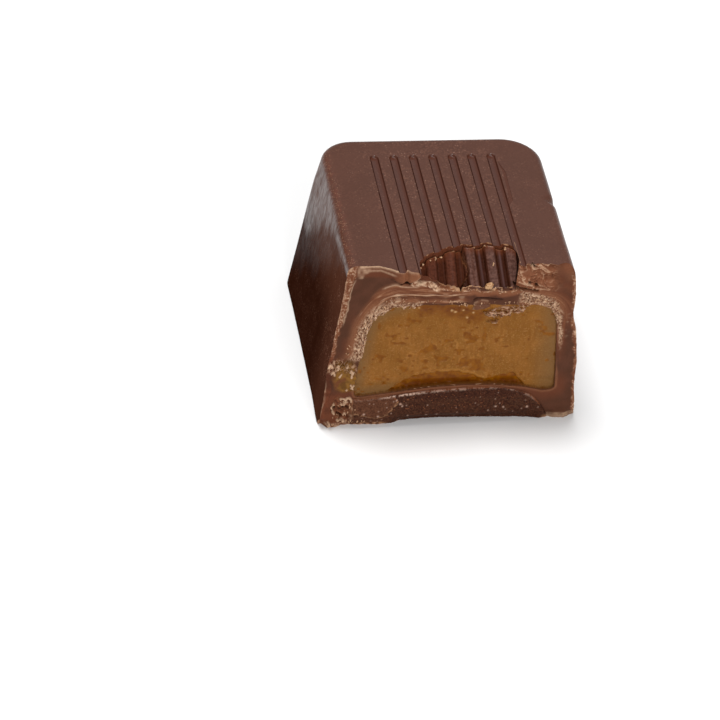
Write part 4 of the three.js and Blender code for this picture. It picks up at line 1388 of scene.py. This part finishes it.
def pressed_chocolate():
    """The pressed-down plate: moulded chocolate with a crumbly front edge, its left piece laid darker and
    redder as painted shade, and its grooves laid dark as painted shade with a painted glint in them.
    """
    f = Finish("pressed_chocolate")
    fine = f.grain(0.25, 3.0)
    striped = f.grain(0.13, 2.0, (5, 1, 1)).between(0.4, 0.65)
    left_piece = f.attribute("left_piece")
    land = f.shades(fine.between(0.3, 0.7), (66, 38, 29), (98, 66, 56))
    # Painted shade: the left piece, which lies deeper, is laid darker and redder.
    red = f.shades(fine.between(0.3, 0.7), (66, 31, 18), (86, 45, 30))
    f.tint = f.mix(left_piece, land, red)
    f.lay(striped * 0.35, (60, 30, 19))
    # Painted shade: dark channels along the plate's grooves, and a painted glint in their floors.
    channel = (f.attribute("channel") + (fine - 0.5) * 0.5).between(0.2, 0.8)
    f.lay(channel * (0.95 - left_piece * 0.25), f.shades(fine, (36, 13, 4), (60, 26, 12)))
    f.lay("glint", (84, 60, 58))
    f.lay("red", f.shades(fine, (76, 34, 16), (98, 50, 28)))
    f.lay("tan", f.shades(fine, (118, 70, 42), (146, 96, 62)))
    f.lay("pale", f.shades(fine, (160, 118, 84), (212, 178, 144)))
    # Painted shade in the cracks round the plate.
    f.lay("dark", (24, 9, 5))
    coat = f.attribute("sheen") * 0.2 * (1 - channel)
    return f.finish(Base_Color=f.tint, Roughness=0.5, Specular_IOR_Level=0.05, Coat_Weight=coat,
                    Coat_Roughness=0.3, Normal=f.relief(fine, 0.03, 0.5))


def caramel():
    """Soft set caramel: matt and finely streaked, amber and glassy where it is thin or torn."""
    f = Finish("caramel")
    amber, dark = f.attribute("amber"), f.attribute("dark")
    fine = f.grain(0.14, 4.0)
    upright = f.grain(0.3, 3.0, (1, 1, 5))
    f.tint = f.shades(f.grain(2.2, 3.0).between(0.35, 0.65), (123, 77, 22), (135, 86, 31))
    f.lay(upright.between(0.4, 0.7) * 0.5, (112, 67, 12))
    f.lay(fine.between(0.5, 0.78) * 0.75, (156, 112, 62))
    f.lay("olive", f.shades(fine, (104, 71, 34), (122, 88, 50)))
    f.lay(amber, f.shades(f.grain(0.5, 2.0).between(0.3, 0.7), (106, 56, 1), (130, 76, 3)))
    # The pale tone here is partly painted highlight, over the hollow and round the torn patches.
    f.lay("pale", (164, 112, 52))
    # Painted shade: the dark tone, where the caramel is amber.
    f.lay(dark * amber, (84, 36, 3))
    f.lay("bloom", (190, 152, 104))
    body, chocolate = f.tint, f.attribute("chocolate")
    grain = broken_colour(f)
    f.tint = f.mix(chocolate, body, f.tint)
    f.finish(Subsurface_Weight=0.15, Subsurface_Radius=(1.0, 0.6, 0.2), Subsurface_Scale=0.4 * MM,
             Specular_IOR_Level=0.12)
    return f.finish(Base_Color=f.tint, Roughness=0.5 - amber * 0.2,
                    Normal=f.relief(fine + chocolate * grain, 0.03, 0.5))


def base_chocolate():
    """The closing layer: darker, matt, with a sandy break and specks of bloom."""
    f = Finish("base_chocolate")
    fine = f.grain(0.14, 4.0)
    tan = f.attribute("tan")
    f.tint = f.shades(fine.between(0.35, 0.7), (46, 22, 13), (74, 40, 26))
    f.lay(f.specks(0.2, 0.3, 0.3) * 0.25, (136, 104, 88))
    f.lay(tan, f.shades(fine.between(0.3, 0.7), (66, 35, 22), (94, 57, 39)))
    # Faces that look upwards, high on the layer, are laid a paler, redder brown.
    f.lay("upper", f.shades(fine, (98, 54, 32), (120, 72, 48)))
    f.lay("pale", (164, 120, 86))
    # Painted shade: the dark tone, in the clefts between the grains.
    f.lay("dark", (26, 13, 9))
    f.lay("bloom", (190, 158, 140))
    return f.finish(Base_Color=f.tint, Roughness=0.7, Specular_IOR_Level=0.08,
                    Normal=f.relief(fine, 0.05, 0.7))


def crumb_chocolate():
    """Loose crumbs and flakes of chocolate, most of them paler than the bar."""
    f = Finish("crumb_chocolate")
    fine = f.grain(0.12, 2.0)
    tone = (f.attribute("tone") + (fine - 0.5) * 0.5).between(0.0, 1.0)
    return f.finish(Base_Color=f.shades(tone, (104, 62, 40), (194, 154, 120)), Roughness=0.6,
                    Specular_IOR_Level=0.1, Normal=f.relief(fine, 0.03, 0.5))


def crumb_caramel():
    """A crumb of caramel, paler where it is dry."""
    f = Finish("crumb_caramel")
    fine = f.grain(0.2, 3.0)
    return f.finish(Base_Color=f.shades(fine.between(0.35, 0.65), (146, 98, 56), (184, 142, 100)),
                    Roughness=0.5, Normal=f.relief(fine, 0.04, 0.6))


# ---------------------------------------------------------------- pieces


def vertex_places(piece):
    """The piece's points in millimetres, in the bar's own place."""
    flat = np.empty(len(piece.data.vertices) * 3)
    piece.data.vertices.foreach_get("co", flat)
    return flat.reshape(-1, 3) / MM - np.array([0, PLACE_Y, 0])


def face_places(piece):
    """Middles and directions of the piece's faces."""
    middles, ways = (np.empty(len(piece.data.polygons) * 3) for _ in range(2))
    piece.data.polygons.foreach_get("center", middles)
    piece.data.polygons.foreach_get("normal", ways)
    return middles.reshape(-1, 3) / MM - np.array([0, PLACE_Y, 0]), ways.reshape(-1, 3)


def shade(piece, angle):
    """Smooth shading that stops at edges sharper than the angle."""
    piece.data.shade_smooth()
    piece.data.set_sharp_from_angle(angle=math.radians(angle))


def set_materials(piece, materials, indices):
    """Gives the piece its materials, and each face the one of its index."""
    piece.data.materials.clear()
    for material in materials:
        piece.data.materials.append(material)
    piece.data.polygons.foreach_set("material_index", np.asarray(indices, np.int32))
    piece.data.update()


def in_notch(x, y, z):
    """True in the room of the notch, and a hair's breadth round it."""
    across = (x > NOTCH["left"] - 0.03) & (x < notch_right(y) + 0.04)
    return across & (y < notch_back(x) + 0.07) & (z < BAR["height"] - 0.02)


def wall_sheen(y, z):
    """How much of the sheen is left on the left wall: high and far back, and a sliver along its top edge."""
    level = z + 0.7 * y + 0.8 * noise(y, z * 0.3, 1.3, 92) + 0.7 * rough(y, z, 3.0, 93)
    cloud, veil = smooth(level, 19.4, 22.6), 0.2 * smooth(level, 15.5, 20.0)
    sliver = 1.2 * hump(z - 15.85 + 0.06 * y, 0, 0.2 + 0.05 * y) * smooth(y, -0.5, 0.5) * below(y, 8.5, 1.5)
    return most(cloud, veil, sliver)


def dress_moulded(shell, x, y, z):
    """Sheen, rubbed edges and dust on the faces that left the mould, and painted shade low on the left wall
    and in the grooves.
    """
    left_in = wall_at(-1, y, z) + x
    on_left = smooth(-x, 7.0, 9.0) * smooth(BAR["height"] - 0.1 - z, 0, 0.25)
    store(shell, sheen=(0.8 - 0.1 * smooth(-x, 4, 9)) * (1 - on_left) + 0.62 * on_left * wall_sheen(y, z))
    store(shell, wall=on_left)
    top_left = smooth(left_in, 0.0, 0.12) * below(left_in, 0.95, 0.5) * smooth(z, 15.5, 16.0)
    store(shell, edge=most(top_left, 0.6 * hump(x, 9.95, 0.35) * smooth(z, 15.6, 16.2) * below(y, 12, 2)))
    # Painted shade: darker low on the left wall, most towards its back.
    store(shell, low=on_left * below(z, 13.5, 7) * (0.35 + 0.65 * smooth(y, 1, 7)))
    near_bite = on_left * below(y, 6.5, 3) * smooth(z, 2, 6)
    store(shell, dusty=most(0.35 + 0.65 * smooth(6.8 - np.abs(x), 0, 1) * smooth(z, 16, 16.3), near_bite))
    grooves = all_grooves(x, y) / GROOVES["depth"]
    across = from_groove(x)
    wall = smooth(grooves, 0.0, 0.08) * below(grooves, 0.97, 0.1)
    at_end = smooth(y, GROOVE_END - 0.75, GROOVE_END - 0.35)
    sunk = (z < BAR["height"] - 0.02) & (z > BAR["height"] - 0.06)
    scratched = sunk & (y > 10) & (y < 17.5) & (x > 5.55) & (x < 6.5) & (grooves == 0)
    # Painted shade in the grooves: a dark crease down the left wall, a fainter line by the right edge, a
    # darker red on the right flank, round the end and on the scratch.
    right_edge_shade = hump(across, 0.35, 0.06) * smooth(y, 8, 15) * 0.5
    store(shell, crease=most(smooth(grooves, 0.1, 0.3) * smooth(-across, 0.24, 0.29), wall * right_edge_shade)
          * (1 - at_end))
    in_groove = smooth(grooves, 0.05, 0.3)
    store(shell, flank=most(in_groove * most(smooth(across, -0.1, 0.4), 1.2 * at_end), 0.6 * scratched))
    # Painted shade: the groove floors are laid a little darker.
    store(shell, groove=grooves)
    # Painted shade and a painted glint for the plate's grooves: dark channels, and a pale line in their
    # floors on the right piece.
    on_plate = from_groove(before_breaking(x, y))
    store(shell, glint=hump(on_plate, -0.03, 0.09) * smooth(x, 0.6, 1.0) * 0.7)
    store(shell, channel=smooth(0.64 - np.abs(on_plate), 0, 0.2))


def store_flow(piece, face):
    """Keeps where the fine lines of the smears run, and where the break is crumbly."""
    along, beyond = face.flow
    store(piece, lined=face.lined, crumbly=face.crumbly, flow_along=along, flow_beyond=beyond)


def dress_shell(shell, moulded):
    """Gives each face of the shell the finish of how it was made: moulded, broken or pressed down."""
    (x, y, z), (_, towards, up) = (rows.T for rows in face_places(shell))
    within = np.minimum(np.minimum(wall_at(1, y, z) - np.abs(x), BAR["height"] - z), z)
    on_bite = (y < Face(x, z).y + 0.15) & ((towards < -0.12) | (within > 0.3))
    notched = in_notch(x, y, z)
    on_plate = notched & (np.abs(z - pressed_plate(x, y)) < 0.12) & (up > 0.2)
    indices = np.where(on_plate, 2, np.where(on_bite | (notched & (y < 6)), 1, 0))
    set_materials(shell, [moulded, broken_chocolate(), pressed_chocolate()], indices)
    x, y, z = vertex_places(shell).T
    dress_moulded(shell, x, y, z)
    face = Face(x, z)
    notched = in_notch(x, y, z - 0.05) & (y > face.y + 0.1)
    crest, behind = plate_crest(x, y) * (1 - 0.6 * hump(x, -1.1, 0.9)), notch_back(x) - y
    torn = hump(x, plate_crack(y) - 0.12, 0.08) * smooth(y, 1.2, 1.8)
    torn = torn * smooth(noise(y, y, 0.3, 69), -0.6, 0.2)
    back_line = hump(behind, 0.15, 0.06) * smooth(noise(x, y, 0.5, 94), -0.5, 0.3)
    above_plate = smooth(z - pressed_plate(x, y), 0.05, 0.1)
    rim = dict(
        pale=most(crest * (0.5 + 0.4 * noise(x, y, 0.3, 68)),
                  back_line * smooth(noise(x, y, 0.35, 95), 0.3, 0.7) * 0.8),
        tan=most(0.8 * back_line, crest, 0.7 * torn),
        red=most(below(behind, 0.85, 0.7) * 0.75, above_plate),
        # Painted shade: dark in the crack behind the plate and along the notch's right side.
        dark=most(hump(behind, 0.07, 0.05) * 0.75 * (1 - above_plate),
                  0.85 * smooth(x - notch_right(y), -0.14, -0.06)))
    for name in ("pale", "tan", "red", "dark", "olive"):
        store(shell, **{name: np.where(notched, rim.get(name, 0), face.tones[name])})
    store(shell, rim=notched & (behind < 0.12), left_piece=smooth(plate_crack(y) - x, -0.05, 0.05))
    store_flow(shell, face)
    shade(shell, 32)


def dress_filling(filling):
    """Tones of the caramel's break."""
    x, _, z = vertex_places(filling).T
    face = Face(x, z)
    store(filling, chocolate=1 - face.caramel, **face.tones)
    store_flow(filling, face)
    set_materials(filling, [caramel()], np.zeros(len(filling.data.polygons)))
    shade(filling, 60)


def dress_base(base):
    """Tones of the closing layer's break. Its faces that look upwards, high on the layer, are laid a paler,
    redder brown.
    """
    x, _, z = vertex_places(base).T
    face = Face(x, z)
    store(base, **{name: face.tones[name] for name in ("pale", "tan", "dark", "bloom")})
    (_, _, z), (_, _, up) = (rows.T for rows in face_places(base))
    # Faces that look upwards, high on the layer, are marked for the paler, redder brown.
    store(base, "FACE", upper=(up > 0.4) & (z > 1.5))
    set_materials(base, [base_chocolate()], np.zeros(len(base.data.polygons)))
    shade(base, 60)


# Lower left and upper right corners of each break, a little beyond its piece.
BREAKS = dict(bite=((-12.6, -0.4), (12.6, 17.0)), caramel=((-9.4, 2.6), (9.9, 12.9)),
              base=((-9.4, -0.3), (9.4, 4.2)))


def make_shell(moulded):
    """The moulded chocolate, with its grooves, rooms, notch and bite cut out."""
    shell = moulded_block("shell_chocolate")
    channels = repeat_across(groove_cutter(), GROOVES["count"], GROOVES["pitch"],
                             groove_centres()[0], moulded)
    bitten = face_cutter("bite_cutter", *BREAKS["bite"])
    caramel_room = along_bar("caramel_room", FILLING_OUTLINE, FILLING["end_wall"], FILLING["end_rounding"])
    base_room = along_bar("base_room", grown(base_section(), BASE["room"]), BASE["end_wall"],
                          BASE["end_rounding"])
    return cut(shell, channels, scratch_cutter(), caramel_room, base_room, notch_cutter(), bitten)


def make_filling():
    """The caramel, bitten."""
    filling = along_bar("caramel", grown(FILLING_OUTLINE, FILLING["overlap"]), FILLING["end_wall"],
                        FILLING["end_rounding"])
    return cut(filling, face_cutter("caramel_cutter", *BREAKS["caramel"]))


def make_base():
    """The closing layer, bitten."""
    base = along_bar("base_chocolate", base_section(), BASE["end_wall"], BASE["end_rounding"])
    return cut(base, face_cutter("base_cutter", *BREAKS["base"]))


FRINGE_LINE = curve_through([(-9.5, 7.3), (-9.2, 8.4), (-8.6, 9.8), (-8.1, 11.0), (-7.2, 11.9), (-6.2, 12.5),
                             (-5.0, 12.75), (-3.7, 12.65)])
TOP_LINE = curve_through([(-3.4, 12.7), (-1.5, 12.85), (0.0, 12.6), (1.2, 12.5), (3.0, 12.6), (5.0, 12.7),
                          (6.6, 12.6)])
FOOT_LINE = curve_through([(-11.5, 0.35), (-10.4, 0.3), (-9.2, 0.4), (-8.0, 0.45)])
PIT_LINE = curve_through([(-10.6, 1.0), (-10.0, 2.4), (-9.7, 2.9), (-9.3, 2.4), (-9.4, 1.2), (-10.2, 0.7)])


# Where crumbs lie: a line, how many are thrown along it, and how far from it they stray.
THROWN = [(FRINGE_LINE, 110, 0.3), (RIGHT_CRUMBS[:34], 110, 0.26), (TOP_LINE, 46, 0.14), (LEDGE, 30, 0.1),
          (FOOT_LINE, 20, 0.12), (PIT_LINE, 30, 0.22)]
ON_PLATE = np.array([(-2.1, 2.75), (-1.5, 3.2), (-2.6, 2.5), (-3.3, 2.1), (3.2, 2.5), (1.6, 3.9), (2.6, 4.1),
                     (4.4, 3.7), (-3.6, 1.7)])
LOWEST_CRUMB = 0.15


def crumb_places(draw, line, count, spread):
    """Places (x, z) thrown along a line."""
    at = draw.random(count) * (len(line) - 1.001)
    step = at.astype(int)
    middle = line[step] + (line[step + 1] - line[step]) * (at - step)[:, None]
    return middle + draw.normal(0, spread, (count, 2))


def make_crumbs():
    """Loose crumbs that cling to the break."""
    draw = np.random.default_rng(62)
    flat = np.vstack([crumb_places(draw, *thrown) for thrown in THROWN])
    flat = flat[flat[:, 1] > LOWEST_CRUMB]
    sizes = 0.035 + 0.07 * draw.random(len(flat)) ** 2
    x, z = flat.T
    places = np.stack([x, Face(x, z).y - 0.3 * sizes, z], -1)
    x, y = ON_PLATE.T
    places = np.vstack([places, np.stack([x, y, pressed_plate(x, y) + 0.06], -1)])
    sizes = np.concatenate([sizes, 0.08 + 0.06 * draw.random(len(ON_PLATE))])
    return scatter_crumbs("crumbs", places, sizes, 0.15 + 0.85 * draw.random(len(places)),
                          crumb_chocolate(), 11)


CARAMEL_CRUMB = dict(place=(2.6, 14.36), reach=(0.4, 0.3, 0.34), corners=7, levels=5, slant=0.25)


def make_caramel_crumb():
    """The one big crumb of caramel on the plate's front edge, with flat broken sides."""
    c, draw = CARAMEL_CRUMB, np.random.default_rng(8)
    x, z = c["place"]
    middle = np.array([x, plate_front(x) + 0.12, z])
    turns = np.linspace(0, 2 * math.pi, c["corners"], endpoint=False)
    uneven = 0.75 + 0.4 * draw.random(c["corners"])
    rings = []
    for level in np.linspace(-0.92, 0.92, c["levels"]):
        around = (1 - abs(level) ** 2.5) ** 0.5 * uneven * (0.9 + 0.2 * draw.random(c["corners"]))
        across, back = around * np.cos(turns) + c["slant"] * level, around * np.sin(turns)
        rings.append(np.stack([across, back, np.full(c["corners"], level)], -1))
    crumb = make_mesh("caramel_crumb", *loft(middle + np.array(rings) * np.array(c["reach"])))
    set_materials(crumb, [crumb_caramel()], np.zeros(len(crumb.data.polygons)))
    return crumb


def place(piece, slot, node=None):
    """Hangs the piece on the root body, and hides the part node that it stands for, if any. The slot is not
    used.
    """
    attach(piece, "root")
    if node:
        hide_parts(node)


make_camera()
make_stage()
moulded = moulded_chocolate()
shell, filling, base = make_shell(moulded), make_filling(), make_base()
crumbs, caramel_crumb = make_crumbs(), make_caramel_crumb()
dress_shell(shell, moulded)
dress_filling(filling)
dress_base(base)
place(shell, "shell_chocolate", "shell")
place(filling, "caramel", "caramel_filling")
place(base, "base_chocolate", "base_layer")
place(crumbs, "shell_chocolate")
place(caramel_crumb, "caramel")
